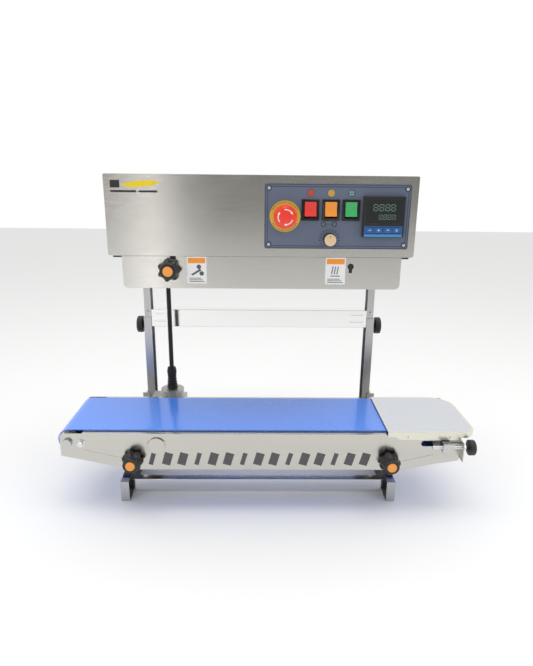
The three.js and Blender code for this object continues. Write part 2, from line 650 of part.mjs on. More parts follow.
// The rear cover, let in behind the casing, with rows of vents and a cut for the power inlet.
function rearCover() {
  const inset = SHEET + CLEARANCE;
  const faces = [HEAD_BACK - SHEET, HEAD_BACK];
  const vents = [];
  for (let row = 0; row < 6; row++) {
    for (const x of [-200, -110, -20]) {
      const z = 580 + row * 10;
      vents.push(box([x, x + 60], [faces[0] - 1, faces[1] + 1], [z, z + 4]));
    }
  }
  return cut(
    box([HEAD_LEFT + inset, HEAD_RIGHT - inset], faces, [plateTop + CLEARANCE, HEAD_TOP - inset]),
    box(inletX.map((x, i) => x + (i ? -2.5 : 2.5)), [faces[0] - 1, faces[1] + 1],
      inletZ.map((z, i) => z + (i ? -2.5 : 2.5))),
    ...vents,
  );
}

// A mains inlet: flange outside the cover, body inside, and the recess that takes the plug.
const powerInlet = cut(
  joined(
    box(inletX, [HEAD_BACK + CLEARANCE, HEAD_BACK + 3], inletZ),
    box([inletX[0] + 3, inletX[1] - 3], [HEAD_BACK - 22, HEAD_BACK + 1], [inletZ[0] + 3, inletZ[1] - 3]),
  ),
  box([inletX[0] + 5, inletX[1] - 5], [HEAD_BACK - 16, HEAD_BACK + 4], [inletZ[0] + 5, inletZ[1] - 5]),
);

// The front guard: a sheet with a rolled lower edge, a notch over its knob and a keyhole.
function frontGuard() {
  const [knobX] = guardKnob;
  const [keyX, keyZ] = keyhole;
  const cutter = [HEAD_FRONT - 1, guardBack + 1];
  const slip = box([keyX - 3, keyX + 3], cutter, [keyZ - 12, keyZ]);
  return cut(
    joined(
      extrude(roundedOutline(GUARD_LEFT, GUARD_RIGHT, GUARD_BOTTOM, plateTop, [9, 9, 0, 0]),
        "y", HEAD_FRONT, guardBack),
      box([GUARD_LEFT + 9, GUARD_RIGHT - 9], [HEAD_FRONT, HEAD_FRONT + 5], [GUARD_BOTTOM, GUARD_BOTTOM + 3]),
    ),
    box([knobX + 2, knobX + 13], cutter, [plateTop - 7, plateTop + 1]),
    rod(studHole, "y", ...cutter, [knobX, 0, guardKnob[1]], 16),
    joined(rod(5.8, "y", ...cutter, [keyX, 0, keyZ], 20), slip),
  );
}

const rearGuardY = rearWheelY + WHEEL_RADIUS + 5;
const rearGuardTop = HEAD_BOTTOM - CLEARANCE;
const rearGuard = joined(
  box([GUARD_LEFT, GUARD_RIGHT], [rearGuardY, rearGuardY + SHEET], [GUARD_BOTTOM, rearGuardTop]),
  box([GUARD_LEFT, GUARD_RIGHT], [rearGuardY, rearGuardY + 12], [rearGuardTop - SHEET, rearGuardTop]),
);

// ---- control panel ----
const switchXs = [91, 128, 164.6];
const switchZ = 610;
const [bezelWidth, bezelHeight, openWidth, openHeight] = [32, 37.5, 22, 30];
const estop = [45.2, 598.5];
const dial = [127.5, 557.7];
const stemRadius = 11;
const controller = { x: [186, 261], z: [563, 635], front: panelFront - 9.2, back: panelFront + 54 };
const keyZs = [570.5, 580.5];
const keyWidth = 13;
const keyXs = [0, 1, 2, 3].map((i) => controller.x[0] + 6.5 + i * 16.3);
const keyGap = 0.35;

// The panel with the three switch frames and their guides, and its cut-outs.
function controlPanel() {
  const frame = (x, w, h, y0, y1) =>
    box([x - w / 2, x + w / 2], [y0, y1], [switchZ - h / 2, switchZ + h / 2]);
  const through = [panelFront - 5, panelBack + 30];
  return cut(
    joined(
      extrude(roundedOutline(PANEL_LEFT, PANEL_RIGHT, PANEL_BOTTOM, PANEL_TOP, [4, 4, 4, 4]),
        "y", panelFront, panelBack, 2),
      ...switchXs.map((x) => frame(x, bezelWidth, bezelHeight, panelFront - 3, panelFront + 1)),
      ...switchXs.map((x) => frame(x, openWidth + 4, openHeight + 4, panelFront + 1, panelBack + 20)),
    ),
    ...switchXs.map((x) => frame(x, openWidth, openHeight, ...through)),
    rod(stemRadius + 0.6, "y", ...through, [estop[0], 0, estop[1]], 24),
    rod(3 + RUNNING, "y", ...through, [dial[0], 0, dial[1]], 16),
    box([controller.x[0] + 3, controller.x[1] - 3], through, [controller.z[0] + 3, controller.z[1] - 3]),
  );
}

// A rocker about X: a shallow V in front of its pivot.
const rockerPivot = panelFront + 6.8;
const rocker = extrude([[-10.5, 0], [-13.5, -12.8], [2, -12.8], [2, 12.8], [-13.5, 12.8]],
  "x", -openWidth / 2 + 0.4, openWidth / 2 - 0.4);
const ROCKER_REST = THREE.MathUtils.degToRad(-8);

const estopRing = turned(
  [[stemRadius + 0.6, -3], [28, -3], [28, 0], [stemRadius + 0.6, 0], [stemRadius + 0.6, -3]], "y",
  [0, 0, 0], 32);
const estopButton = turned(
  [[0, -26], [12, -25.4], [18, -23.2], [21, -19], [20.4, -15], [16, -13], [stemRadius, -13],
    [stemRadius, 20], [0, 20]],
  "y", [0, 0, 0], 28,
);
const speedDial = turned(
  [[0, -18], [10.4, -18], [11.6, -16.5], [11.6, 0], [3, 0], [3, 12], [0, 12]], "y");

// The temperature controller: square front with key pockets, narrower body behind the panel.
const temperatureController = cut(
  joined(
    box(controller.x, [controller.front, onPanel], controller.z),
    box([controller.x[0] + 4, controller.x[1] - 4], [onPanel - 1, controller.back],
      [controller.z[0] + 4, controller.z[1] - 4]),
  ),
  ...keyXs.map((x) => box([x - keyGap, x + keyWidth + keyGap],
    [controller.front - 1, controller.front + 3], [keyZs[0] - keyGap, keyZs[1] + keyGap])),
);
const controllerKey = box([0, keyWidth], [0, 3], [keyZs[0], keyZs[1]]);

// ---- drive and sealing bands ----
const shaftTurn = Math.atan2(rearWheelY - SHAFT_Y, wheelX - DRIVE_X);
const rearTurn = meshedTurn(shaftTurn, SHAFT_TEETH, shaftTurn, WHEEL_TEETH);
const frontTurn = meshedTurn(rearTurn, WHEEL_TEETH, -Math.PI / 2, WHEEL_TEETH);
const pinionTurn = meshedTurn(shaftTurn, SHAFT_TEETH, 0, PINION_TEETH);
const gearTop = GEAR_BOTTOM + GEAR_HEIGHT;
const bandTop = BAND_BOTTOM + BAND_HEIGHT;

// A band wheel under the plate with its shaft; a drive wheel's shaft goes on up to its gear.
function bandWheel(shaftTop) {
  return joined(
    rod(WHEEL_RADIUS, "z", BAND_BOTTOM - 2, bandTop + 2, [0, 0, 0], 32),
    rod(AXLE_RADIUS, "z", BAND_BOTTOM - 4, shaftTop, [0, 0, 0], 16),
    rod(9, "z", bandTop + 1, HEAD_BOTTOM - 2, [0, 0, 0], 16),
  );
}
const driveWheel = joined(bandWheel(gearTop + 2), gear(WHEEL_TEETH, GEAR_BOTTOM, gearTop));

function sealingBand() {
  const inner = WHEEL_RADIUS + CLEARANCE;
  return cut(
    extrude(stadium(wheelX, IDLER_X, 0, inner + BAND_THICKNESS), "z", BAND_BOTTOM, bandTop, 10),
    extrude(stadium(wheelX, IDLER_X, 0, inner), "z", BAND_BOTTOM - 1, bandTop + 1, 10),
  );
}

// The heater and the finned cooler behind one band, on a common bar hung from the mounting plate.
// `face` is the side that the band slides on and `away` the direction of the other sides.
function heaterAndCooler(face, away) {
  const ys = (from, to) => [face + away * from, face + away * to].sort((a, b) => a - b);
  const blockZ = [BAND_BOTTOM + 2, bandTop + 4];
  const fins = [0, 1, 2, 3, 4].map((i) =>
    box([22 + i * 13, 28 + i * 13], ys(8, 21), [BAND_BOTTOM + 1, bandTop + 2]));
  return cut(
    joined(
      box([-120, -40], ys(0, 20), blockZ),
      box([10, 90], ys(0, 20), blockZ),
      box([-110, 80], ys(4, 16), [bandTop + 3, bandTop + 9]),
      box([-90, -70], ys(4, 16), [bandTop + 8, HEAD_BOTTOM - CLEARANCE]),
      box([40, 60], ys(4, 16), [bandTop + 8, HEAD_BOTTOM - CLEARANCE]),
    ),
    ...fins,
  );
}

// The hollow upper half of the drive shaft, with its gear; the lower half slides up inside it.
const upperShaft = cut(
  joined(rod(tubeRadius, "z", 468, 636), gear(SHAFT_TEETH, GEAR_BOTTOM, gearTop)),
  rod(SHAFT_RADIUS + RUNNING, "z", 467, 637),
);
const lowerShaft = turned(
  [[0, bossTop - 15], [SHAFT_RADIUS, bossTop - 15], [SHAFT_RADIUS, bossTop + 1], [9, bossTop + 1],
    [11, bossTop + 8], [9.5, bossTop + 26], [11, bossTop + 44], [9, bossTop + 53],
    [SHAFT_RADIUS, bossTop + 54], [SHAFT_RADIUS, 518], [0, 518]],
  "z",
);
const pinion = joined(
  gear(PINION_TEETH, GEAR_BOTTOM, gearTop),
  rod(4, "z", GEAR_BOTTOM - 4, GEAR_BOTTOM + 30, [0, 0, 0], 16),
);
const motor = cut(
  joined(rod(30, "z", gearTop + 6, 640, [0, 0, 0], 28), rod(11, "z", gearTop + 2, gearTop + 7)),
  rod(4 + RUNNING, "z", gearTop, GEAR_BOTTOM + 32, [0, 0, 0], 16),
);

place(head, "mounting_plate", mountingPlate(), blackPaint);
place(head, "head_casing", headCasing(), casingSteel);
place(head, "head_rear_cover", rearCover(), casingSteel);
place(head, "power_inlet", powerInlet, darkPlastic);
place(head, "front_guard", frontGuard(), casingSteel);
place(head, "rear_guard", rearGuard, casingSteel);
place(head, "guard_knob",
  joined(starKnob(25), rod(STUD_RADIUS, "z", -4.5, 1, [0, 0, 0], 16)), darkPlastic,
  [guardKnob[0], HEAD_FRONT - CLEARANCE, guardKnob[1]], [Math.PI / 2, 0, 0]);
place(head, "control_panel", controlPanel(), panelBlue);
place(head, "estop_ring", estopRing, yellowPlastic, [estop[0], onPanel, estop[1]]);
place(head, "estop_button", estopButton, redPlastic, [estop[0], onPanel, estop[1]]);
place(head, "speed_dial", speedDial, darkPlastic, [dial[0], onPanel, dial[1]]);
place(head, "temperature_controller", temperatureController, darkPlastic);
[redPlastic, orangePlastic, greenPlastic].forEach((material, i) => {
  place(head, `switch_rocker_${i + 1}`, rocker, material, [switchXs[i], rockerPivot, switchZ],
    [ROCKER_REST, 0, 0]);
});
keyXs.forEach((x, i) => {
  place(head, `controller_key_${i + 1}`, controllerKey, greenPlastic, [x, controller.front - 1, 0]);
});
place(head, "drive_motor", motor, gearSteel, [motorX, SHAFT_Y, 0]);
place(head, "motor_pinion", pinion, gearSteel, [motorX, SHAFT_Y, 0], [0, 0, pinionTurn]);
place(head, "drive_shaft_upper", upperShaft, gearSteel, [DRIVE_X, SHAFT_Y, 0], [0, 0, shaftTurn]);
place(base, "drive_shaft_lower", lowerShaft, blackRubber, [DRIVE_X, SHAFT_Y, 0]);
for (const [word, y, turn, away] of [
  ["front", frontWheelY, frontTurn, -1],
  ["rear", rearWheelY, rearTurn, 1],
]) {
  const face = SEAL_Y + away * (BAND_THICKNESS + 2 * CLEARANCE);
  place(head, `drive_wheel_${word}`, driveWheel, gearSteel, [wheelX, y, 0], [0, 0, turn]);
  place(head, `idler_wheel_${word}`, bandWheel(plateTop + 8), gearSteel, [IDLER_X, y, 0]);
  place(head, `sealing_band_${word}`, sealingBand(), bandTan, [0, y, 0]);
  place(head, `heater_cooler_${word}`, heaterAndCooler(face, away), castAluminium);
}

// The part's own origin is the middle of its footprint, on the floor.
const footprint = new THREE.Box3().setFromObject(machine);
machine.position.set(
  -(footprint.min.x + footprint.max.x) / 2,
  -(footprint.min.y + footprint.max.y) / 2,
  -footprint.min.z,
);

const part = new THREE.Group();
part.add(machine);
export default part;
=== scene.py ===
import json
from math import cos, sin, pi, radians, tau

import bmesh
import bpy
from mathutils import Matrix, Vector


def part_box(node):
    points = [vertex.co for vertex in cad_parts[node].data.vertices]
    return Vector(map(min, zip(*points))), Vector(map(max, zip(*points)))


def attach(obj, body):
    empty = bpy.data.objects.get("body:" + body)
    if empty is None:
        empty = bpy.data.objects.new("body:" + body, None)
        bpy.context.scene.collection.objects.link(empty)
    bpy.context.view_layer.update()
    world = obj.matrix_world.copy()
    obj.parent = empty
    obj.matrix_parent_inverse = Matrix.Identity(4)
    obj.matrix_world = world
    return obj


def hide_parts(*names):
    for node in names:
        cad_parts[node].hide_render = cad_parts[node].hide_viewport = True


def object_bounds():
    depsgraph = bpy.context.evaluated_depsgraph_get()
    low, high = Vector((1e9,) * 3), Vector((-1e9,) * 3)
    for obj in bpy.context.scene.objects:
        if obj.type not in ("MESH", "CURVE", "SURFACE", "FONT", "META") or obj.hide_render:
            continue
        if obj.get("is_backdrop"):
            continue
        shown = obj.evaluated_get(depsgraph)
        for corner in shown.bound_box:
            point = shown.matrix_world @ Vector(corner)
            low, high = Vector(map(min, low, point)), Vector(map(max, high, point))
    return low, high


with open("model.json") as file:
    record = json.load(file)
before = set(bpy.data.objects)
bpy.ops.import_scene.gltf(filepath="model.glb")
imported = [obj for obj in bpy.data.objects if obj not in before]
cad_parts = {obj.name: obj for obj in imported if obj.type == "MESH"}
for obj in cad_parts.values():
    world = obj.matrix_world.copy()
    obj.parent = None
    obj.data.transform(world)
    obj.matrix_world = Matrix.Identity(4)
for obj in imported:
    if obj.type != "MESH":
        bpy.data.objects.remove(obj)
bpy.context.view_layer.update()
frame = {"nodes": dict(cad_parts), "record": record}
MM = 0.001

# The camera stands in front of the machine at head height and looks a little down on the belt.
# Its lens is a normal one, and it is turned by less than a degree so that the head sits level.
lens = bpy.data.cameras.new("camera_lens")
lens.sensor_width = 36.0
lens.sensor_fit = "HORIZONTAL"
lens.lens = 35.77
camera = bpy.data.objects.new("camera", lens)
bpy.context.scene.collection.objects.link(camera)
middle_x = (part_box("lower_post_left")[0].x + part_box("lower_post_right")[1].x) / 2
plate_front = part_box("conveyor_front_plate")[0].y + 22 * MM
pitch, yaw, roll = radians(16.362), radians(-0.861), radians(0.571)
camera.matrix_world = (
    Matrix.Translation((middle_x - 0.0009, plate_front - 0.950, 0.6656))
    @ Matrix.Rotation(yaw, 4, "Z")
    @ Matrix.Rotation(pi / 2 - pitch, 4, "X")
    @ Matrix.Rotation(roll, 4, "Z")
)
bpy.context.scene.camera = camera

# A plain pale floor, a world that is pale behind the machine and darker before it, and soft studio lights.
# The narrow upright strips before the machine show in its brushed sheet as soft upright bands.
floor_mesh = bpy.data.meshes.new("floor")
FLOOR = 6.0
floor_mesh.from_pydata(
    [(-FLOOR, -FLOOR, -0.0005), (FLOOR, -FLOOR, -0.0005), (FLOOR, FLOOR, -0.0005), (-FLOOR, FLOOR, -0.0005)],
    [], [(0, 1, 2, 3)])
floor = bpy.data.objects.new("floor", floor_mesh)
bpy.context.scene.collection.objects.link(floor)
floor_paint = bpy.data.materials.new("floor_paint")
floor_paint.use_nodes = True
floor_paint.node_tree.nodes["Principled BSDF"].inputs["Base Color"].default_value = (0.96, 0.96, 0.96, 1)
floor_paint.node_tree.nodes["Principled BSDF"].inputs["Roughness"].default_value = 0.9
floor_mesh.materials.append(floor_paint)
floor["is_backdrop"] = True
world = bpy.data.worlds.new("studio")
world.use_nodes = True
sky, sky_links = world.node_tree.nodes, world.node_tree.links
sky_place = sky.new("ShaderNodeTexCoord")
sky_split = sky.new("ShaderNodeSeparateXYZ")
sky_links.new(sky_place.outputs["Generated"], sky_split.inputs["Vector"])
sky_wall = sky.new("ShaderNodeValToRGB")
stops = sky_wall.color_ramp.elements
stops[0].position, stops[0].color = 0.0, (0.24, 0.235, 0.22, 1)
stops[1].position, stops[1].color = 0.60, (1.0, 1.0, 1.0, 1)
sky_depth = sky.new("ShaderNodeMapRange")
sky_depth.inputs["From Min"].default_value = -1.0
sky_depth.inputs["From Max"].default_value = 1.0
sky_links.new(sky_split.outputs["Y"], sky_depth.inputs["Value"])
sky_links.new(sky_depth.outputs["Result"], sky_wall.inputs["Fac"])
sky_links.new(sky_wall.outputs["Color"], sky["Background"].inputs["Color"])
sky["Background"].inputs["Strength"].default_value = 1.0
bpy.context.scene.world = world
bpy.context.scene.view_settings.view_transform = "Standard"


def soft_light(name, place, aim, size, watts):
    light = bpy.data.lights.new(name, "AREA")
    light.shape = "RECTANGLE"
    light.size, light.size_y = size
    light.energy = watts
    lamp = bpy.data.objects.new(name, light)
    lamp.location = place
    lamp.rotation_euler = (Vector(aim) - Vector(place)).to_track_quat("-Z", "Y").to_euler()
    bpy.context.scene.collection.objects.link(lamp)


soft_light("overhead", (0.0, -0.3, 2.1), (0, 0, 0.3), (2.4, 0.9), 14)
soft_light("key_left", (-1.5, -1.6, 1.3), (0, 0, 0.35), (0.5, 1.6), 5)
soft_light("fill_right", (1.9, -1.2, 1.0), (0, 0, 0.35), (0.8, 1.2), 6)
soft_light("strip_left", (-0.53, -1.62, 0.75), (-0.2, 0, 0.55), (0.06, 1.3), 0.9)
soft_light("strip_middle", (0.05, -1.62, 1.5), (0, 0, 0.6), (0.5, 0.3), 1.2)

# Head casing: one folded sheet of brushed stainless steel, 1.5 mm thick, with the grain running sideways.
# Its folds are rounded, and the sheet shows faint smudges and fine scratches from handling.
bodies = frame["record"]["behaviour"]["bodies"]
body_of_node = {node: body for body, nodes in bodies.items() for node in nodes}


def finish_of(name, colour, roughness, metallic, grain=(60, 60, 60), grain_bump=0.1, uneven=0.06,
              coat=0.0, smudge_scale=9.0):
    """A material with a fine grain, which may be stretched along an axis, and broad uneven patches."""
    material = bpy.data.materials.new(name)
    material.use_nodes = True
    nodes, links = material.node_tree.nodes, material.node_tree.links
    shader = nodes["Principled BSDF"]
    shader.inputs["Metallic"].default_value = metallic
    shader.inputs["Coat Weight"].default_value = coat
    place = nodes.new("ShaderNodeTexCoord")
    stretch = nodes.new("ShaderNodeMapping")
    stretch.inputs["Scale"].default_value = grain
    links.new(place.outputs["Object"], stretch.inputs["Vector"])
    fine = nodes.new("ShaderNodeTexNoise")
    fine.inputs["Scale"].default_value = 10.0
    fine.inputs["Detail"].default_value = 4.0
    links.new(stretch.outputs["Vector"], fine.inputs["Vector"])
    broad = nodes.new("ShaderNodeTexNoise")
    broad.inputs["Scale"].default_value = smudge_scale
    broad.inputs["Detail"].default_value = 5.0
    links.new(place.outputs["Object"], broad.inputs["Vector"])
    both = nodes.new("ShaderNodeMath")
    both.operation = "ADD"
    links.new(fine.outputs["Fac"], both.inputs[0])
    links.new(broad.outputs["Fac"], both.inputs[1])
    rough = nodes.new("ShaderNodeMapRange")
    rough.inputs["From Min"].default_value = 0.6
    rough.inputs["From Max"].default_value = 1.4
    rough.inputs["To Min"].default_value = max(0.02, roughness - 1.3 * uneven)
    rough.inputs["To Max"].default_value = roughness + 1.3 * uneven
    links.new(both.outputs["Value"], rough.inputs["Value"])
    links.new(rough.outputs["Result"], shader.inputs["Roughness"])
    tint = nodes.new("ShaderNodeMix")
    tint.data_type = "RGBA"
    tint.inputs["A"].default_value = (*[c * (1 - uneven) for c in colour], 1)
    tint.inputs["B"].default_value = (*[min(1, c * (1 + uneven)) for c in colour], 1)
    links.new(broad.outputs["Fac"], tint.inputs["Factor"])
    links.new(tint.outputs["Result"], shader.inputs["Base Color"])
    bump = nodes.new("ShaderNodeBump")
    bump.inputs["Strength"].default_value = grain_bump
    bump.inputs["Distance"].default_value = 0.0002
    links.new(fine.outputs["Fac"], bump.inputs["Height"])
    links.new(bump.outputs["Normal"], shader.inputs["Normal"])
    return material


def settle(piece, material, node=None, body=None):
    """Gives a finished piece its material and its body, and hides the CAD node it stands for."""
    if not piece.data.materials:
        piece.data.materials.append(material)
    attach(piece, body or body_of_node[node])
    if node:
        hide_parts(node)
    return piece


def new_piece(name, mesh_data, smooth_angle=35):
    """An object at the origin from a bmesh, smooth except at its sharp edges."""
    mesh = bpy.data.meshes.new(name)
    bmesh.ops.recalc_face_normals(mesh_data, faces=mesh_data.faces)
    mesh_data.to_mesh(mesh)
    mesh_data.free()
    mesh.polygons.foreach_set("use_smooth", [True] * len(mesh.polygons))
    mesh.set_sharp_from_angle(angle=radians(smooth_angle))
    piece = bpy.data.objects.new(name, mesh)
    bpy.context.scene.collection.objects.link(piece)
    return piece


WELD, FLAT = 2e-6, radians(0.5)


def clean_shape(node):
    """A node's solid as a bmesh, its corners welded and its coplanar faces joined."""
    shape = bmesh.new()
    shape.from_mesh(frame["nodes"][node].data)
    bmesh.ops.remove_doubles(shape, verts=shape.verts, dist=WELD)
    bmesh.ops.dissolve_limit(shape, angle_limit=FLAT, verts=shape.verts, edges=shape.edges)
    return shape


def round_edges(piece, width, sharpest, harden=True):
    """Rounds every edge whose faces meet at more than `sharpest` degrees."""
    bevel = piece.modifiers.new("rounded_edges", "BEVEL")
    bevel.width = width
    bevel.segments = 2
    bevel.limit_method = "ANGLE"
    bevel.angle_limit = radians(sharpest)
    bevel.harden_normals = harden


def rounded_copy(node, edge, material, hidden=None, is_hidden=None, plain=False):
    """A node's solid with its coplanar faces joined and its edges rounded by `edge`.
    Faces for which is_hidden(centre, normal) is true get the second material. A plain sheet with many slots keeps
    its flat shading."""
    piece = new_piece(node + "_finished", clean_shape(node))
    piece.data.materials.append(material)
    if hidden:
        piece.data.materials.append(hidden)
        for face in piece.data.polygons:
            if is_hidden(face.center, face.normal):
                face.material_index = 1
    round_edges(piece, edge, 35, not plain)
    if plain:
        piece.data.polygons.foreach_set("use_smooth", [False] * len(piece.data.polygons))
    return settle(piece, material, node)


brushed_steel = finish_of("brushed_stainless", (0.61, 0.595, 0.56), 0.22, 1.0,
                          grain=(3, 90, 220), grain_bump=0.1, uneven=0.05, smudge_scale=5)
rounded_copy("head_casing", 0.9 * MM, brushed_steel)

# Casing badge: a printed vinyl sticker in the top left corner, a yellow leaf shape beside a dark square.
# It carries no words; both shapes are thin raised sheets stuck on the steel.
casing_low, casing_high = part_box("head_casing")


def sticker(name, outline, front, thickness=0.25 * MM):
    """A thin printed sheet on a face that looks along -Y; the outline is given in (x, z)."""
    shape = bmesh.new()
    corners = [shape.verts.new((x, front, z)) for x, z in outline]
    face = shape.faces.new(corners)
    moved = bmesh.ops.extrude_face_region(shape, geom=[face])["geom"]
    bmesh.ops.translate(shape, verts=[v for v in moved if isinstance(v, bmesh.types.BMVert)],
                        vec=(0, -thickness, 0))
    return new_piece(name, shape)


def printed(name, outline, face, ink, thickness=0.25 * MM, body="head"):
    """A thin printed sheet in its ink, fixed to a body."""
    return settle(sticker(name, outline, face, thickness), ink, body=body)


def rounded_rectangle(x0, x1, z0, z1, radius, steps=6):
    """The outline of a rectangle with round corners, anticlockwise."""
    points = []
    for i, (x, z) in enumerate([(x1 - radius, z1 - radius), (x0 + radius, z1 - radius),
                                (x0 + radius, z0 + radius), (x1 - radius, z0 + radius)]):
        for k in range(steps + 1):
            angle = pi / 2 * (i + k / steps)
            points.append((x + radius * cos(angle), z + radius * sin(angle)))
    return points


vinyl_yellow = finish_of("badge_yellow", (0.85, 0.62, 0.02), 0.35, 0.0, grain_bump=0.02, uneven=0.03)
vinyl_black = finish_of("badge_black", (0.018, 0.018, 0.02), 0.35, 0.0, grain_bump=0.02, uneven=0.03)
badge_x, badge_z = casing_low.x + 12 * MM, casing_high.z - 17 * MM
casing_face = casing_low.y
leaf = [(badge_x + (20 + 34 + 33 * cos(a)) * MM,
         badge_z + (5.5 * sin(a) + 2.5 * cos(a)) * MM) for a in [tau * i / 40 for i in range(40)]]
printed("badge_leaf", leaf, casing_face, vinyl_yellow)
square = rounded_rectangle(badge_x, badge_x + 17 * MM, badge_z - 7 * MM, badge_z + 6 * MM, 1.5 * MM)
printed("badge_square", square, casing_face, vinyl_black)
for row, (start, end) in enumerate([(0, 46), (50, 84)]):
    line = rounded_rectangle(badge_x + start * MM, badge_x + end * MM, badge_z - 15 * MM,
                             badge_z - 11.5 * MM, 1 * MM)
    printed(f"badge_line_{row + 1}", line, casing_face, vinyl_black)

# Black mounting plate: 3 mm steel, laser cut and painted satin black. The posts, the wheels and the casing are
# screwed to it, and two lugs hang from its front edge for the guard.
black_paint = finish_of("satin_black_paint", (0.022, 0.022, 0.024), 0.45, 0.0, grain_bump=0.12)
rounded_copy("mounting_plate", 0.4 * MM, black_paint)

# Front and rear guards: brushed stainless sheet. The front one hangs on a screw in its keyhole and is held by
# a star knob; its lower edge is rolled for stiffness.
rounded_copy("front_guard", 0.35 * MM, brushed_steel)
rounded_copy("rear_guard", 0.35 * MM, brushed_steel)


def join_rings(shape, rings):
    """Faces between each ring of corners and the next; all rings have the same number of corners."""
    for low, high in zip(rings, rings[1:]):
        for i in range(len(low)):
            j = (i + 1) % len(low)
            shape.faces.new((low[i], low[j], high[j], high[i]))


def turned_rings(rings, axis, centre, steps=64, outline=None):
    """A turned shape: (radius, height) rings from one end to the other, closed by a flat face at each end.
    outline(angle, ring index) may scale a ring's radius."""
    shape = bmesh.new()
    turn = {"x": Matrix.Rotation(pi / 2, 4, "Y"), "y": Matrix.Rotation(-pi / 2, 4, "X"), "z": Matrix()}[axis]
    place = Matrix.Translation(centre) @ turn
    loops = []
    for index, (radius, height) in enumerate(rings):
        loop = []
        for i in range(steps):
            angle = tau * i / steps
            r = radius * (outline(angle, index) if outline else 1)
            loop.append(shape.verts.new(place @ Vector((r * cos(angle), r * sin(angle), height))))
        loops.append(loop)
    join_rings(shape, loops)
    shape.faces.new(loops[0])
    shape.faces.new(loops[-1])
    return shape


guard_low, guard_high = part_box("front_guard")
roll_r = 2.3 * MM
roll_z, roll_y = guard_low.z + roll_r, guard_low.y + roll_r
settle(new_piece("front_guard_roll", turned_rings(
    [(roll_r * 0.6, guard_low.x + 9 * MM), (roll_r, guard_low.x + 10 * MM), (roll_r, guard_high.x - 10 * MM),
     (roll_r * 0.6, guard_high.x - 9 * MM)], "x", (0, roll_y, roll_z), 20)),
    brushed_steel, body="head")

# Guard labels: two printed paper stickers, white with an orange band, a simple picture and short grey lines.
# The left one shows a bar going in between two rollers, the right one three slanted heat strokes.
paper_white = finish_of("label_white", (0.82, 0.83, 0.84), 0.5, 0.0, grain_bump=0.03, uneven=0.02)
print_orange = finish_of("label_orange", (0.90, 0.30, 0.03), 0.5, 0.0, grain_bump=0.03, uneven=0.02)
print_grey = finish_of("label_print", (0.09, 0.09, 0.10), 0.5, 0.0, grain_bump=0.03, uneven=0.02)


def guard_label(side, x0, x1, picture):
    """A guard label from x0 to x1 with its band, picture and grey lines, all on the guard's face."""
    z0, z1 = guard_high.z - 51 * MM, guard_high.z - 0.8 * MM
    face = guard_low.y
    layers = [("paper", rounded_rectangle(x0, x1, z0, z1, 1 * MM), paper_white, 0.12)]
    inset = 2 * MM
    layers.append(("band", rounded_rectangle(x0 + inset, x1 - inset, z1 - 12 * MM, z1 - inset, 0.5 * MM),
                   print_orange, 0.2))
    layers += [(f"mark_{i + 1}", outline, print_grey, 0.22) for i, outline in enumerate(picture(x0, x1, z0))]
    for i in range(3):
        z = z0 + (3 + 3.2 * i) * MM
        layers.append((f"line_{i + 1}", rounded_rectangle(x0 + 4 * MM, x1 - (4 + 3 * i) * MM, z,
                                                          z + 1.3 * MM, 0.4 * MM), print_grey, 0.2))
    for part, outline, ink, thickness in layers:
        printed(f"label_{side}_{part}", outline, face, ink, thickness * MM)


def rollers_picture(x0, x1, z0):
    """Two discs with a slanted bar going in between them."""
    middle = (x0 + x1) / 2
    disc = lambda x, z, r: [(x + r * cos(tau * i / 20), z + r * sin(tau * i / 20)) for i in range(20)]
    bar = [(middle - 11 * MM, z0 + 17 * MM), (middle - 8 * MM, z0 + 15 * MM),
           (middle + 9 * MM, z0 + 25 * MM), (middle + 6 * MM, z0 + 28 * MM)]
    return [disc(middle + 4 * MM, z0 + 31.5 * MM, 4.2 * MM), disc(middle + 9 * MM, z0 + 19 * MM, 4.2 * MM), bar]


def heat_picture(x0, x1, z0):
    """Three slanted strokes over a plain bar."""
    middle = (x0 + x1) / 2
    stroke = lambda x: [(x, z0 + 19 * MM), (x + 1.8 * MM, z0 + 19 * MM), (x + 4.3 * MM, z0 + 34 * MM),
                        (x + 2.5 * MM, z0 + 34 * MM)]
    return [stroke(middle + d * MM) for d in (-8, -3, 2)] + [
        rounded_rectangle(middle - 9 * MM, middle + 9 * MM, z0 + 15 * MM, z0 + 16.6 * MM, 0.5 * MM)]


guard_label("left", middle_x - 135.5 * MM, middle_x - 99.3 * MM, rollers_picture)
guard_label("right", middle_x + 123 * MM, middle_x + 160.5 * MM, heat_picture)

# Star knobs: moulded black phenolic with seven lobes, a smooth round collar in front and an orange cap pressed in.
# One clamps the guard and two lock the conveyor to its brackets; each turns on its own stud.
black_moulding = finish_of("black_moulding", (0.014, 0.014, 0.015), 0.38, 0.0, grain_bump=0.15, uneven=0.12)
cap_orange = finish_of("knob_cap_orange", (0.93, 0.36, 0.07), 0.4, 0.0, grain_bump=0.05)
LOBES = 7


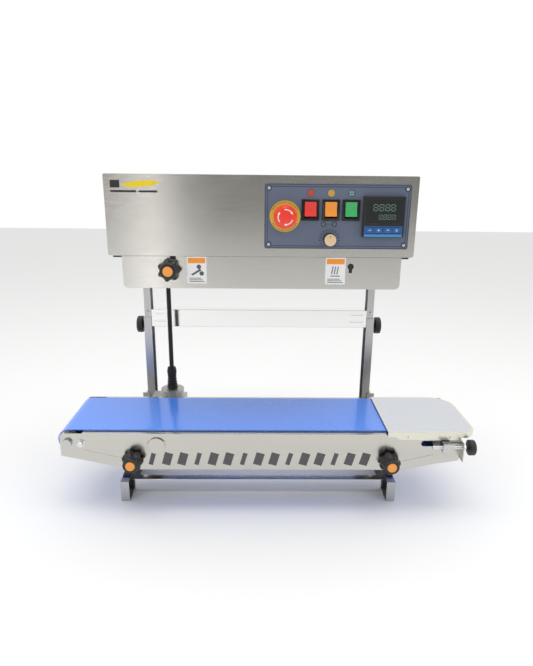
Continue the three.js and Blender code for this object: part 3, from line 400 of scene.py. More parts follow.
def star_knob(node):
    """A lobed grip that tapers to a round collar, drawn from its back to its front along -Y."""
    low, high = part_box(node)
    radius = (high.z - low.z) / 2 * 1.01
    centre_x, centre_z = (low.x + high.x) / 2, (low.z + high.z) / 2
    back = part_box("front_guard" if node == "guard_knob" else "conveyor_front_plate")[0].y
    if node != "guard_knob":
        back = plate_front
    back -= 0.3 * MM
    length = back - low.y
    # share of the length, share of the radius, depth of the lobes
    profile = [(0.0, 0.50, 0.0), (0.10, 0.52, 0.0), (0.115, 0.80, 0.08), (0.14, 0.90, 0.10), (0.20, 0.94, 0.11),
               (0.46, 0.93, 0.11), (0.54, 0.90, 0.09), (0.60, 0.84, 0.05), (0.70, 0.77, 0.02),
               (0.84, 0.74, 0.0), (0.91, 0.72, 0.0), (0.935, 0.68, 0.0), (0.94, 0.50, 0.0), (0.92, 0.49, 0.0)]
    rings = [(radius * share, length * along) for along, share, _ in profile]
    lobe = lambda angle, index: 1 + profile[index][2] * cos(LOBES * angle) / profile[index][1]
    shape = turned_rings([(r, -h) for r, h in rings], "y", (centre_x, back, centre_z), 112, lobe)
    settle(new_piece(node + "_grip", shape, 40), black_moulding, node)
    cap_profile = [(0.485, 0.91), (0.485, 0.955), (0.46, 0.985), (0.40, 1.0), (0.2, 1.004)]
    cap_rings = [(radius * r * 0.93, -length * h) for r, h in cap_profile]
    settle(new_piece(node + "_cap", turned_rings(cap_rings, "y", (centre_x, back, centre_z), 48)),
           cap_orange, body=body_of_node[node])
    stud = turned_rings([(3.9 * MM, 0.2 * MM), (3.9 * MM, high.y - back - 0.5 * MM), (3.3 * MM, high.y - back)],
                        "y", (centre_x, back, centre_z), 24)
    settle(new_piece(node + "_stud", stud), turned_steel, body=body_of_node[node])


turned_steel = finish_of("turned_steel", (0.55, 0.555, 0.565), 0.28, 1.0, grain=(200, 20, 200), grain_bump=0.1)
for knob in ("guard_knob", "conveyor_knob_left", "conveyor_knob_right"):
    star_knob(knob)

# Clamp knobs: black discs with a fluted rim, one outside each post. Each screws on a stud that passes through
# the slot of the inner post, and so clamps the head at its height.
FLUTES = 28


def clamp_knob(node, side):
    """A fluted disc about X with a dished outer face and a small boss against the post."""
    low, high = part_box(node)
    centre = Vector(((high.x if side < 0 else low.x), (low.y + high.y) / 2, (low.z + high.z) / 2))
    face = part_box(f"lower_post_{'left' if side < 0 else 'right'}")[0 if side < 0 else 1].x
    outer = (face - low.x) if side < 0 else (high.x - face)
    radius = (high.z - low.z) / 2
    profile = [(0.40, 0.03), (0.40, 0.20), (0.88, 0.20), (0.97, 0.26), (0.985, 0.36), (0.985, 0.84), (0.95, 0.95),
               (0.86, 1.0), (0.62, 1.0), (0.55, 0.93), (0.2, 0.93)]
    fluted = lambda angle, i: 1 + (0.014 * cos(FLUTES * angle) if 3 <= i <= 6 else 0)
    rings = [(radius * r, side * outer * h) for r, h in profile]
    shape = turned_rings(rings, "x", (face, centre.y, centre.z), FLUTES * 5, fluted)
    settle(new_piece(node + "_grip", shape, 40), black_moulding, node)
    inner = (high.x - face) if side < 0 else (low.x - face)
    stud = turned_rings([(3.9 * MM, side * 0.6 * MM), (3.9 * MM, inner * 0.95), (3.2 * MM, inner)],
                        "x", (face, centre.y, centre.z), 24)
    settle(new_piece(node + "_stud", stud), turned_steel, body=node)


clamp_knob("clamp_knob_left", -1)
clamp_knob("clamp_knob_right", 1)

# Tension screws: M8 zinc-plated studs with a nut on the end flange and a fluted black hand wheel.
# Turning them draws the block on the tail axle along and so tightens the belt.
zinc = finish_of("zinc_plate", (0.74, 0.75, 0.76), 0.25, 1.0, grain_bump=0.08, uneven=0.08)
PITCH = 1.25 * MM


def thread(name, x0, x1, y, z, radius, body):
    """A stud about X with a helical thread: each ring's radius follows the turn of the screw."""
    turns = int((x1 - x0) / PITCH)
    per_turn, steps = 6, 20
    rings = [(radius - 0.35 * MM, x0 + (x1 - x0) * i / (turns * per_turn)) for i in range(turns * per_turn + 1)]
    ridge = lambda angle, i: 1 + 0.09 * (0.5 + 0.5 * cos(angle - tau * i / per_turn))
    settle(new_piece(name, turned_rings(rings, "x", (0, y, z), steps, ridge), 60), zinc,
           body=body)


def hexagon_nut(name, x0, x1, y, z, radius, body):
    """A nut about X, turned down at both ends as a real one is chamfered."""
    rings = [(radius * 0.88, x0), (radius, x0 + 0.8 * MM), (radius, x1 - 0.8 * MM), (radius * 0.88, x1)]
    settle(new_piece(name, turned_rings(rings, "x", (0, y, z), 6), 20), zinc, body=body)


for end in ("front", "rear"):
    node = f"tension_screw_{end}"
    low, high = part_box(node)
    y, z = (low.y + high.y) / 2, (low.z + high.z) / 2
    wheel_r = (high.z - low.z) / 2
    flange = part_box("conveyor_front_plate")[1].x
    thread(node + "_thread", low.x, high.x - 12 * MM, y, z, 4 * MM, node)
    hexagon_nut(node + "_nut", flange + 0.4 * MM, flange + 6 * MM, y, z, 7.4 * MM, node)
    profile = [(0.42, -18), (0.45, -13.4), (0.86, -13), (0.98, -12), (0.98, -3), (0.94, -1), (0.82, 0), (0.3, 0)]
    fluted = lambda angle, i: 1 + (0.02 * cos(20 * angle) if 3 <= i <= 5 else 0)
    rings = [(wheel_r * r, high.x + h * MM) for r, h in profile]
    settle(new_piece(node + "_wheel", turned_rings(rings, "x", (0, y, z), 100, fluted), 40),
           black_moulding, node)

# Control panel: 1.5 mm sheet with a printed slate-blue overlay, and three black switch frames clipped into it.
# The overlay has a darker border line, and a screw with a cup washer holds each corner.
panel_blue = finish_of("panel_overlay", (0.125, 0.155, 0.225), 0.42, 0.1, grain_bump=0.05, uneven=0.04)
gloss_black = finish_of("gloss_black", (0.012, 0.012, 0.013), 0.18, 0.0, grain_bump=0.02, uneven=0.05)
print_navy = finish_of("panel_border", (0.05, 0.065, 0.105), 0.42, 0.0, grain_bump=0.03)
panel_low, panel_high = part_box("control_panel")
panel_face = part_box("estop_ring")[1].y + 0.3 * MM
rounded_copy("control_panel", 0.5 * MM, panel_blue, gloss_black,
             lambda centre, normal: centre.y < panel_face - 0.2 * MM or centre.y > panel_face + 1.7 * MM)


def outline_strip(name, outer, inner, face, ink, thickness=0.15 * MM):
    """A printed line between two outlines with the same number of points."""
    shape = bmesh.new()
    front, back = [], []
    for points, y in ((outer, face - thickness), (inner, face - thickness), (outer, face), (inner, face)):
        (front if y < face else back).append([shape.verts.new((x, y, z)) for x, z in points])
    count = len(outer)
    for i in range(count):
        j = (i + 1) % count
        shape.faces.new((front[0][i], front[0][j], front[1][j], front[1][i]))
        shape.faces.new((back[0][i], back[1][i], back[1][j], back[0][j]))
        shape.faces.new((front[0][i], back[0][i], back[0][j], front[0][j]))
        shape.faces.new((front[1][i], front[1][j], back[1][j], back[1][i]))
    return settle(new_piece(name, shape), ink, body="head")


def inset_rectangle(low, high, inset, radius):
    """A box's outline seen from the front, moved in by `inset`."""
    return rounded_rectangle(low.x + inset, high.x - inset, low.z + inset, high.z - inset, radius)


for name, outer, outer_radius, inner, inner_radius in [("panel_border_line", 4.6, 4, 6.0, 3),
                                                       ("panel_edge_line", 0.8, 3.5, 2.2, 2.5)]:
    outline_strip(name, inset_rectangle(panel_low, panel_high, outer * MM, outer_radius * MM),
                  inset_rectangle(panel_low, panel_high, inner * MM, inner_radius * MM), panel_face, print_navy)


def ring_points(x, z, radius, count=28):
    """Points round a circle, anticlockwise."""
    return [(x + radius * cos(tau * i / count), z + radius * sin(tau * i / count)) for i in range(count)]


# Printed symbols: a filled disc over each switch in its own colour, two linked rings under the middle switch,
# and a row of short ticks round the speed dial.
dial_low, dial_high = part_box("speed_dial")
dial_x, dial_z = (dial_low.x + dial_high.x) / 2, (dial_low.z + dial_high.z) / 2
rocker_boxes = [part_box(f"switch_rocker_{i}") for i in (1, 2, 3)]
rocker_xs = [(low.x + high.x) / 2 for low, high in rocker_boxes]
rocker_z = (rocker_boxes[0][0].z + rocker_boxes[0][1].z) / 2
symbol_inks = [
    finish_of("symbol_red", (0.42, 0.075, 0.04), 0.45, 0.0, grain_bump=0.03),
    finish_of("symbol_amber", (0.55, 0.33, 0.05), 0.45, 0.0, grain_bump=0.03),
    finish_of("symbol_teal", (0.08, 0.16, 0.17), 0.45, 0.0, grain_bump=0.03),
]
symbol_z = rocker_z + 29 * MM
for i, (x, ink) in enumerate(zip(rocker_xs, symbol_inks)):
    printed(f"panel_symbol_{i + 1}", ring_points(x, symbol_z, 6.4 * MM), panel_face, ink, 0.12 * MM)
    outline_strip(f"panel_symbol_edge_{i + 1}", ring_points(x, symbol_z, 7.1 * MM),
                  ring_points(x, symbol_z, 6.4 * MM), panel_face, print_navy)
white_ink = finish_of("symbol_white", (0.75, 0.76, 0.74), 0.45, 0.0, grain_bump=0.03)
for k in range(4):
    angle = pi / 4 + k * pi / 2
    dot = ring_points(rocker_xs[2] + 3.1 * MM * cos(angle), symbol_z + 3.1 * MM * sin(angle), 1 * MM, 10)
    printed(f"panel_symbol_dot_{k + 1}", dot, panel_face - 0.12 * MM, white_ink, 0.1 * MM)
for k, offset in enumerate((-12, 8)):
    x, z = dial_x + offset * MM, dial_z + 27.3 * MM
    outline_strip(f"linked_ring_{k + 1}", ring_points(x, z, 4.7 * MM), ring_points(x, z, 3.7 * MM),
                  panel_face, gloss_black)
link_z = dial_z + 27.3 * MM
link_bar = rounded_rectangle(dial_x - 7.3 * MM, dial_x + 3.3 * MM, link_z - 0.4 * MM, link_z + 0.4 * MM, 0.3 * MM)
printed("linked_ring_bar", link_bar, panel_face, print_navy, 0.12 * MM)


# Geometry Nodes tree for everything that repeats on the machine as a small turned or flat part: the mesh's points
# carry one copy each of a chosen object, turned about the face's normal at random.
def scatter_tree(name, part, material, seed, random_turn=True):
    """Copies `part` to each point of the mesh, real geometry with one material."""
    tree = bpy.data.node_groups.new(name, "GeometryNodeTree")
    tree.interface.new_socket("Points", in_out="INPUT", socket_type="NodeSocketGeometry")
    size = tree.interface.new_socket("Size", in_out="INPUT", socket_type="NodeSocketFloat")
    size.default_value = 1.0
    turn = tree.interface.new_socket("Turn", in_out="INPUT", socket_type="NodeSocketVector")
    tree.interface.new_socket("Copies", in_out="OUTPUT", socket_type="NodeSocketGeometry")
    nodes, links = tree.nodes, tree.links
    given, result = nodes.new("NodeGroupInput"), nodes.new("NodeGroupOutput")
    source = nodes.new("GeometryNodeObjectInfo")
    source.inputs["Object"].default_value = part
    to_points = nodes.new("GeometryNodeMeshToPoints")
    copies = nodes.new("GeometryNodeInstanceOnPoints")
    spin = nodes.new("GeometryNodeRotateInstances")
    spin.inputs["Local Space"].default_value = True
    chance = nodes.new("FunctionNodeRandomValue")
    chance.data_type = "FLOAT_VECTOR"
    chance.inputs["Min"].default_value = (0, 0, 0)
    chance.inputs["Max"].default_value = (0, 0, tau if random_turn else 0)
    chance.inputs["Seed"].default_value = seed
    real = nodes.new("GeometryNodeRealizeInstances")
    paint = nodes.new("GeometryNodeSetMaterial")
    paint.inputs["Material"].default_value = material
    links.new(given.outputs["Points"], to_points.inputs["Mesh"])
    links.new(to_points.outputs["Points"], copies.inputs["Points"])
    links.new(source.outputs["Geometry"], copies.inputs["Instance"])
    links.new(given.outputs["Turn"], copies.inputs["Rotation"])
    links.new(given.outputs["Size"], copies.inputs["Scale"])
    links.new(copies.outputs["Instances"], spin.inputs["Instances"])
    links.new(chance.outputs["Value"], spin.inputs["Rotation"])
    links.new(spin.outputs["Instances"], real.inputs["Geometry"])
    links.new(real.outputs["Geometry"], paint.inputs["Geometry"])
    links.new(paint.outputs["Geometry"], result.inputs["Copies"])
    return tree, size.identifier, turn.identifier


def scatter(name, part, material, points, turn, body, size=1.0, seed=1, random_turn=True):
    """One plain mesh with a copy of `part` at each point, turned from +Z by `turn`."""
    mesh = bpy.data.meshes.new(name + "_points")
    mesh.from_pydata([tuple(p) for p in points], [], [])
    holder = bpy.data.objects.new(name + "_points", mesh)
    bpy.context.scene.collection.objects.link(holder)
    tree, size_socket, turn_socket = scatter_tree(name + "_tree", part, material, seed, random_turn)
    modifier = holder.modifiers.new("copies", "NODES")
    modifier.node_group = tree
    modifier[size_socket] = size
    modifier[turn_socket] = turn
    graph = bpy.context.evaluated_depsgraph_get()
    made = bpy.data.meshes.new_from_object(holder.evaluated_get(graph))
    holder.modifiers.remove(modifier)
    bpy.data.objects.remove(holder)
    piece = bpy.data.objects.new(name, made)
    bpy.context.scene.collection.objects.link(piece)
    return settle(piece, material, body=body)


def pattern_part(name, shape):
    """A small part at the origin that only serves as the pattern for copies, so it is never shown."""
    mesh = bpy.data.meshes.new(name)
    bmesh.ops.recalc_face_normals(shape, faces=shape.faces)
    shape.to_mesh(mesh)
    shape.free()
    mesh.polygons.foreach_set("use_smooth", [True] * len(mesh.polygons))
    mesh.set_sharp_from_angle(angle=radians(30))
    return bpy.data.objects.new(name, mesh)

# Panel screws: four zinc pan heads with a cross recess, each on a dark cup washer.
def flat_ring(shape, radius_at, height, steps):
    """A ring of corners about Z; radius_at(i) gives the radius of corner i."""
    return [shape.verts.new((radius_at(i) * cos(tau * i / steps), radius_at(i) * sin(tau * i / steps), height))
            for i in range(steps)]


def pan_head(radius, height):
    """A domed screw head on +Z with a cross cut into its top."""
    shape = bmesh.new()
    steps = 20
    profile = [(1.0, 0.0), (1.0, 0.45), (0.93, 0.75), (0.75, 0.95), (0.4, 1.0)]
    rings = [flat_ring(shape, lambda i: radius * share, height * up, steps) for share, up in profile]
    join_rings(shape, rings)
    shape.faces.new(rings[0])
    cross = lambda i: radius * 0.4 * (0.9 if i % 5 == 0 else 0.35)
    floor_ring = flat_ring(shape, cross, height * 0.45, steps)
    join_rings(shape, [rings[-1], floor_ring])
    shape.faces.new(floor_ring)
    return shape


def flat_washer(outer, inner, height):
    """A flat ring with a rounded top on +Z."""
    shape = bmesh.new()
    profile = [(inner, 0), (outer, 0), (outer, height * 0.6), (outer * 0.9, height), (inner, height * 0.7)]
    rings = [flat_ring(shape, lambda i: r, z, 28) for r, z in profile]
    join_rings(shape, rings + rings[:1])
    return shape


small_screw = pattern_part("small_screw", pan_head(2.6 * MM, 1.5 * MM))
cup_washer = pattern_part("cup_washer", flat_washer(5.2 * MM, 1.2 * MM, 0.5 * MM))
TO_FRONT = (pi / 2, 0, 0)
TO_BACK = (-pi / 2, 0, 0)
corner = 8 * MM
panel_corners = [(x, panel_face, z) for x in (panel_low.x + corner, panel_high.x - corner)
                 for z in (panel_low.z + corner, panel_high.z - corner)]
scatter("panel_washers", cup_washer, print_navy, panel_corners, TO_FRONT, "head")
scatter("panel_screws", small_screw, zinc, [(x, y - 0.3 * MM, z) for x, y, z in panel_corners], TO_FRONT,
        "head", seed=3)

# Ticks of the speed dial: fifteen short printed bars over three quarters of a turn, open at the bottom.
def printed_bars(name, bars, face, ink, body, thickness=0.15 * MM):
    """Flat upright bars in front of the plane y = face; each is (x, z, width, length, lean from upright)."""
    shape = bmesh.new()
    for x, z, width, length, lean in bars:
        place = Matrix.Translation((x, face - thickness / 2, z)) @ Matrix.Rotation(lean, 4, "Y")
        made = bmesh.ops.create_cube(shape, size=1, matrix=place @ Matrix.Diagonal((width, thickness, length, 1)))
        edges = {edge for vert in made["verts"] for edge in vert.link_edges}
        bmesh.ops.bevel(shape, geom=list(edges), offset=thickness * 0.25, segments=1, affect="EDGES")
    return settle(new_piece(name, shape), ink, body=body)


def bars_round(x, z, radius, angles, width, length):
    """Bars that stand across a circle, each pointing to its centre."""
    return [(x + radius * sin(a), z + radius * cos(a), width, length, a) for a in angles]


tick_angles = [radians(-135 + 270 * i / 14) for i in range(15)]
printed_bars("dial_ticks", bars_round(dial_x, dial_z, 17.4 * MM, tick_angles, 1.1 * MM, 2.7 * MM),
             panel_face, gloss_black, "head")

# Speed dial: a black fluted skirt with a pressed-in cap of cream anodised aluminium and a pointer line.
cap_cream = finish_of("dial_cap_cream", (0.80, 0.60, 0.38), 0.35, 0.3, grain=(40, 40, 40), grain_bump=0.05)
dial_back = panel_face - 0.35 * MM
fluted = lambda angle, i: 1 + (0.02 * cos(24 * angle) if 2 <= i <= 4 else 0)
skirt = [(12.6, 0), (12.6, 1.2), (11.6, 2.0), (11.4, 12.5), (11.2, 14.5), (10.2, 15.4), (9.4, 15.4)]
settle(new_piece("speed_dial_skirt", turned_rings([(r * 0.92 * MM, -h * MM) for r, h in skirt], "y",
                                                  (dial_x, dial_back, dial_z), 96, fluted), 40),
       black_moulding, "speed_dial")
cap = [(10.6, 13.0), (10.6, 16.3), (10.1, 17.4), (8.8, 17.9), (4, 18.0)]
settle(new_piece("speed_dial_cap", turned_rings([(r * MM, -h * MM) for r, h in cap], "y",
                                                (dial_x, dial_back, dial_z), 64)),
       cap_cream, body="speed_dial")
pointer = rounded_rectangle(dial_x - 0.5 * MM, dial_x + 0.5 * MM, dial_z + 4 * MM, dial_z + 8.6 * MM, 0.4 * MM)
printed("speed_dial_pointer", pointer, dial_back - 17.9 * MM, print_grey, 0.12 * MM, "speed_dial")

# Emergency stop: a red mushroom head on a stem, over a yellow disc. Three white arrows on the head show the twist
# that frees it, and short dark bars stand round the disc where such discs carry their wording.
stop_red = finish_of("stop_red", (0.90, 0.045, 0.025), 0.3, 0.0, grain_bump=0.04, uneven=0.03, coat=0.3)
stop_yellow = finish_of("stop_yellow", (0.72, 0.45, 0.04), 0.42, 0.0, grain_bump=0.04, uneven=0.05)
white_print = finish_of("white_print", (0.85, 0.84, 0.80), 0.45, 0.0, grain_bump=0.03)
stop_low, stop_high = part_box("estop_button")
ring_low, ring_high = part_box("estop_ring")
stop_x, stop_z = (stop_low.x + stop_high.x) / 2, (stop_low.z + stop_high.z) / 2
stop_centre = (stop_x, ring_high.y, stop_z)
rounded_copy("estop_ring", 0.5 * MM, stop_yellow)
dome = lambda r: 24.9 - 3.2 * (r / 21.0) ** 2.6
mushroom = [(11.0, -20.0), (11.0, 12.9), (15.6, 13.1), (19.0, 14.0), (20.6, 15.6), (21.0, 17.6), (20.8, 19.6)]
mushroom += [(r, dome(r) + 1.1) for r in (20.0, 18.0, 15.0, 12.0, 8.0, 4.0, 1.0)]
settle(new_piece("estop_mushroom", turned_rings([(r * MM, -h * MM) for r, h in mushroom], "y",
                                                stop_centre, 72)), stop_red, "estop_button")


def arc_arrow(name, start, sweep):
    """A raised white arc with an arrow head, lying on the dome of the mushroom head."""
    steps = 14
    shape = bmesh.new()
    rows = []
    for i in range(steps + 1):
        along = i / steps
        angle = start + sweep * along
        half = 0.85 if along < 0.74 else 2.4 * (1 - along) / 0.26 + 0.02
        row = []
        for r in (13.2 - half, 13.2 + half):
            for lift in (0.75, 1.32):
                row.append(shape.verts.new((stop_x + r * MM * cos(angle),
                                            stop_centre[1] - (dome(r) + lift) * MM,
                                            stop_z + r * MM * sin(angle))))
        rows.append(row)
    for a, b in zip(rows, rows[1:]):
        for k, m in ((0, 1), (1, 3), (3, 2), (2, 0)):
            shape.faces.new((a[k], a[m], b[m], b[k]))
    for row in (rows[0], rows[-1]):
        shape.faces.new((row[0], row[1], row[3], row[2]))
    settle(new_piece(name, shape, 50), white_print, body="estop_button")


for i in range(3):
    arc_arrow(f"estop_arrow_{i + 1}", radians(100 + 120 * i), -radians(82))
disc_angles = [radians(side + 9 * i) for side in (-58.5, 121.5) for i in range(14)]
printed_bars("estop_disc_bars", bars_round(stop_x, stop_z, 25.4 * MM, disc_angles, 1.3 * MM, 2.8 * MM),
             ring_low.y + 0.02 * MM, print_grey, "head")

# Rocker switches: red, orange and green lens bodies in black frames. Each shows a grey bezel inside the frame and
# the lens, which tilts about its middle, keeps clear of it.
bezel_grey = finish_of("switch_bezel_grey", (0.16, 0.165, 0.17), 0.35, 0.0, grain_bump=0.05)
LENS_COLOURS = {"red": (0.78, 0.03, 0.02), "orange": (0.86, 0.30, 0.03), "green": (0.04, 0.42, 0.13)}
lens_inks = [finish_of("lens_" + name, colour, 0.22, 0.0, grain_bump=0.03, uneven=0.04, coat=0.4)
             for name, colour in LENS_COLOURS.items()]
for i, ((low, high), lens) in enumerate(zip(rocker_boxes, lens_inks)):
    node = f"switch_rocker_{i + 1}"
    rounded_copy(node, 0.6 * MM, lens)
    outline_strip(f"rocker_bezel_{i + 1}", inset_rectangle(low, high, -2.4 * MM, 1.6 * MM),
                  inset_rectangle(low, high, -1.7 * MM, 1.0 * MM), panel_face - 0.9 * MM, bezel_grey, 0.4 * MM)

# Temperature controller: a black square front with two unlit rows of digits, a blue strip behind the keys and a
# lighter strip under them. The digits are the dark segments of a display that is off.
controller_low, controller_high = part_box("temperature_controller")
controller_face = controller_low.y
window_ink = finish_of("display_window", (0.016, 0.020, 0.019), 0.09, 0.0, grain_bump=0.01, uneven=0.05, coat=0.6)
digit_ink = finish_of("display_segments", (0.12, 0.20, 0.165), 0.3, 0.0, grain_bump=0.02, uneven=0.05)
strip_blue = finish_of("key_strip_blue", (0.025, 0.115, 0.34), 0.35, 0.0, grain_bump=0.03, uneven=0.05)
strip_bright = finish_of("bright_blue_strip", (0.06, 0.28, 0.62), 0.35, 0.0, grain_bump=0.03, uneven=0.05)
rounded_copy("temperature_controller", 0.5 * MM, black_moulding)
key_boxes = [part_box(f"controller_key_{i}") for i in (1, 2, 3, 4)]
width = controller_high.x - controller_low.x
height = controller_high.z - controller_low.z
window = rounded_rectangle(controller_low.x + 0.08 * width, controller_high.x - 0.08 * width,
                           controller_low.z + 0.36 * height, controller_high.z - 0.08 * height, 1.2 * MM)
printed("display_window", window, controller_face, window_ink)


def digit_bars(x, z, size):
    """The seven bars of one display digit, its centre at (x, z), `size` high."""
    w, t = size * 0.30, size * 0.115
    bars = [(x, z + k * (size / 2 - t / 2), t, 2 * w - t * 1.3, pi / 2) for k in (-1, 0, 1)]
    bars += [(x + side * w, z + up * size / 4, t, size / 2 - t * 1.5, 0) for side in (-1, 1) for up in (-1, 1)]
    return bars


display_x = (controller_low.x + controller_high.x) / 2
# name, height of the row and size of its digits as shares of the front, and its shift to the right
rows = [("upper_digits", 0.73, 0.17, 0.0), ("lower_digits", 0.5, 0.13, 0.08)]
for name, z_share, size_share, shift in rows:
    size = size_share * height
    row_x, row_z = display_x + shift * width, controller_low.z + z_share * height
    bars = [bar for k in range(4) for bar in digit_bars(row_x + (k - 1.5) * size * 0.86, row_z, size)]
    printed_bars(name, bars, controller_face - 0.26 * MM, digit_ink, "head", 0.12 * MM)

key_low_z, key_high_z = key_boxes[0][0].z, key_boxes[0][1].z
edges = [controller_low.x + 3 * MM]
for low, high in key_boxes:
    edges += [low.x - 0.5 * MM, high.x + 0.5 * MM]
edges.append(controller_high.x - 3 * MM)
strips = [(edges[k], edges[k + 1], key_low_z - 1 * MM, key_high_z + 1 * MM, strip_blue) for k in range(0, 10, 2)]
strips += [(edges[0], edges[-1], key_high_z + 1 * MM, key_high_z + 2.4 * MM, strip_blue),
           (edges[0], edges[-1], key_low_z - 2.4 * MM, key_low_z - 1 * MM, strip_blue),
           (edges[0], edges[-1], key_low_z - 6.6 * MM, key_low_z - 2.6 * MM, strip_bright)]
for k, (x0, x1, z0, z1, ink) in enumerate(strips):
    field = rounded_rectangle(x0, x1, z0, z1, 0.1 * MM)
    printed(f"key_field_{k + 1}", field, controller_face, ink, 0.15 * MM)

# Controller keys: four soft blue caps with a simple mark each: a minus, a plus, an arrow head and two bars.
key_blue = finish_of("key_cap_blue", (0.025, 0.12, 0.36), 0.45, 0.0, grain_bump=0.1, uneven=0.05)
key_shapes = [[(0, 0, 0.9, 5, pi / 2)], [(0, 0, 0.9, 5, pi / 2), (0, 0, 0.9, 5, 0)],
              [(0, 0.9, 0.9, 3.6, pi / 4), (1.9, 0.9, 0.9, 3.6, -pi / 4)],
              [(0, 1.3, 0.9, 4, pi / 2), (0, -1.3, 0.9, 4, pi / 2)]]
for i, (low, high) in enumerate(key_boxes):
    rounded_copy(f"controller_key_{i + 1}", 0.7 * MM, key_blue)
    x, z = (low.x + high.x) / 2, (low.z + high.z) / 2
    printed_bars(f"key_mark_{i + 1}", [(x + dx * MM * 0.8, z + dz * MM * 0.8, w * MM, h * MM * 0.8, lean)
                                       for dx, dz, w, h, lean in key_shapes[i]], low.y, white_print,
                 f"controller_key_{i + 1}", 0.12 * MM)

# Conveyor plates: folded stainless sheet with rounded folds. A pressed line follows the sloping lower edge at each
# end, and the axle bolt and an adjusting bolt stand near the nose.
plate_steel = finish_of("plate_stainless", (0.56, 0.55, 0.51), 0.22, 1.0, grain=(3, 60, 200), grain_bump=0.08,
                        uneven=0.05, smudge_scale=6)
rounded_copy("conveyor_front_plate", 0.8 * MM, plate_steel)
rounded_copy("conveyor_rear_plate", 0.8 * MM, plate_steel)

# Belt: a seamless blue polyurethane loop, glossy on its working face.
belt_blue = finish_of("belt_polyurethane", (0.095, 0.29, 1.0), 0.26, 0.0, grain=(50, 50, 50), grain_bump=0.05,
                      uneven=0.04, coat=0.35, smudge_scale=3)
rounded_copy("conveyor_belt", 0.3 * MM, belt_blue)

# Belt bed: plain steel sheet under the belt, polished by it along its middle.
bed_steel = finish_of("bed_steel", (0.56, 0.56, 0.55), 0.32, 1.0, grain=(2, 80, 80), grain_bump=0.15)
rounded_copy("belt_bed", 0.6 * MM, bed_steel)

# Extension table: a folded tray of stainless sheet with a raised rim, its top brushed along its length. Every face
# but the inset top takes a lighter, warmer colour, a painted highlight for the bright band along the rolled rim.
table_steel = finish_of("table_stainless", (0.66, 0.68, 0.72), 0.26, 1.0, grain=(2, 120, 60), grain_bump=0.15,
                        uneven=0.04, smudge_scale=4)
# Painted highlight: this lighter, warmer colour stands for the light that the rolled rim catches.
rim_painted_highlight = finish_of("table_rim_painted_highlight", (0.74, 0.72, 0.64), 0.3, 1.0, grain=(60, 60, 60), grain_bump=0.1)
tray = clean_shape("extension_table")
upward = max((face for face in tray.faces if face.normal.z > 0.9), key=lambda face: face.calc_area())
for face in tray.faces:
    face.material_index = 1
bmesh.ops.inset_region(tray, faces=[upward], thickness=4.5 * MM, depth=-0.5 * MM, use_even_offset=True)
upward.material_index = 0
tray_piece = new_piece("extension_table_finished", tray)
tray_piece.data.materials.append(table_steel)
tray_piece.data.materials.append(rim_painted_highlight)
round_edges(tray_piece, 0.5 * MM, 40)
settle(tray_piece, table_steel, "extension_table")
table_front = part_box("extension_table")[0].y

# Bearing cover: a round stainless cap over the drive roller's bearing, held by a small screw at each side.
rounded_copy("bearing_cover", 0.5 * MM, plate_steel)

# Plate details: a pressed crease follows each sloping end and an adjusting bolt stands near the nose.
# A row of plain slanted bars runs along the middle, and small screws hold the bearing cover and the table's apron.
def crease(name, start, end, face, half=0.8 * MM):
    """A slim raised line on the plate from one (x, z) to another, with its ends tapered."""
    run = Vector((end[0] - start[0], end[1] - start[1]))
    side = Vector((-run.y, run.x)).normalized() * half
    tip = run.normalized() * half * 3
    outline = [(start[0], start[1]), (start[0] + tip.x + side.x, start[1] + tip.y + side.y),
               (end[0] - tip.x + side.x, end[1] - tip.y + side.y), (end[0], end[1]),
               (end[0] - tip.x - side.x, end[1] - tip.y - side.y),
               (start[0] + tip.x - side.x, start[1] + tip.y - side.y)]
    printed(name, outline, face, plate_steel, 0.45 * MM, "base")


crease("crease_left", (middle_x - 0.350, 0.142), (middle_x - 0.240, 0.116), plate_front)
crease("crease_right", (middle_x + 0.262, 0.111), (middle_x + 0.352, 0.133), plate_front)
plain_bars = [(middle_x - 0.213 + 0.0305 * i, 0.1226, (17 if i % 3 else 9) * MM, 27 * MM, radians(16))
              for i in range(15)]
printed_bars("plate_bars", plain_bars, plate_front, print_grey, "base", 0.2 * MM)
adjusting_bolt = turned_rings([(9 * MM, 0), (9 * MM, 0.8 * MM), (8.4 * MM, 1.4 * MM), (6.2 * MM, 1.5 * MM),
                               (6.2 * MM, 5.2 * MM), (5.4 * MM, 6.4 * MM), (1.5 * MM, 6.7 * MM)], "y",
                              (middle_x - 0.3529, plate_front, 0.1563), 40)
bmesh.ops.scale(adjusting_bolt, vec=(1, -1, 1), verts=adjusting_bolt.verts,
                space=Matrix.Translation((0, -plate_front, 0)))
settle(new_piece("adjusting_bolt", adjusting_bolt), zinc, body="base")
cover_low, cover_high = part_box("bearing_cover")
cover_x, cover_z = (cover_low.x + cover_high.x) / 2, (cover_low.z + cover_high.z) / 2
cover_screws = [(cover_x + side * 15.5 * MM, plate_front, cover_z + 7 * MM) for side in (-1, 1)]
scatter("cover_screws", small_screw, zinc, cover_screws, TO_FRONT, "base", size=1.25, seed=5)
apron_screws = [(middle_x + x * MM, table_front + 0.1 * MM, 173 * MM) for x in (297, 380)]
scatter("apron_screws", small_screw, zinc, apron_screws, TO_FRONT, "base", seed=6)

# Gearbox: a rough sand-cast housing with painted sides, machined where the shaft stands on it.
cast_aluminium = finish_of("cast_aluminium", (0.52, 0.52, 0.50), 0.5, 0.9, grain=(120, 120, 120), grain_bump=0.8,
                           uneven=0.1, smudge_scale=14)
rounded_copy("gearbox_housing", 1.6 * MM, cast_aluminium)
gearbox_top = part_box("gearbox_housing")[1].z

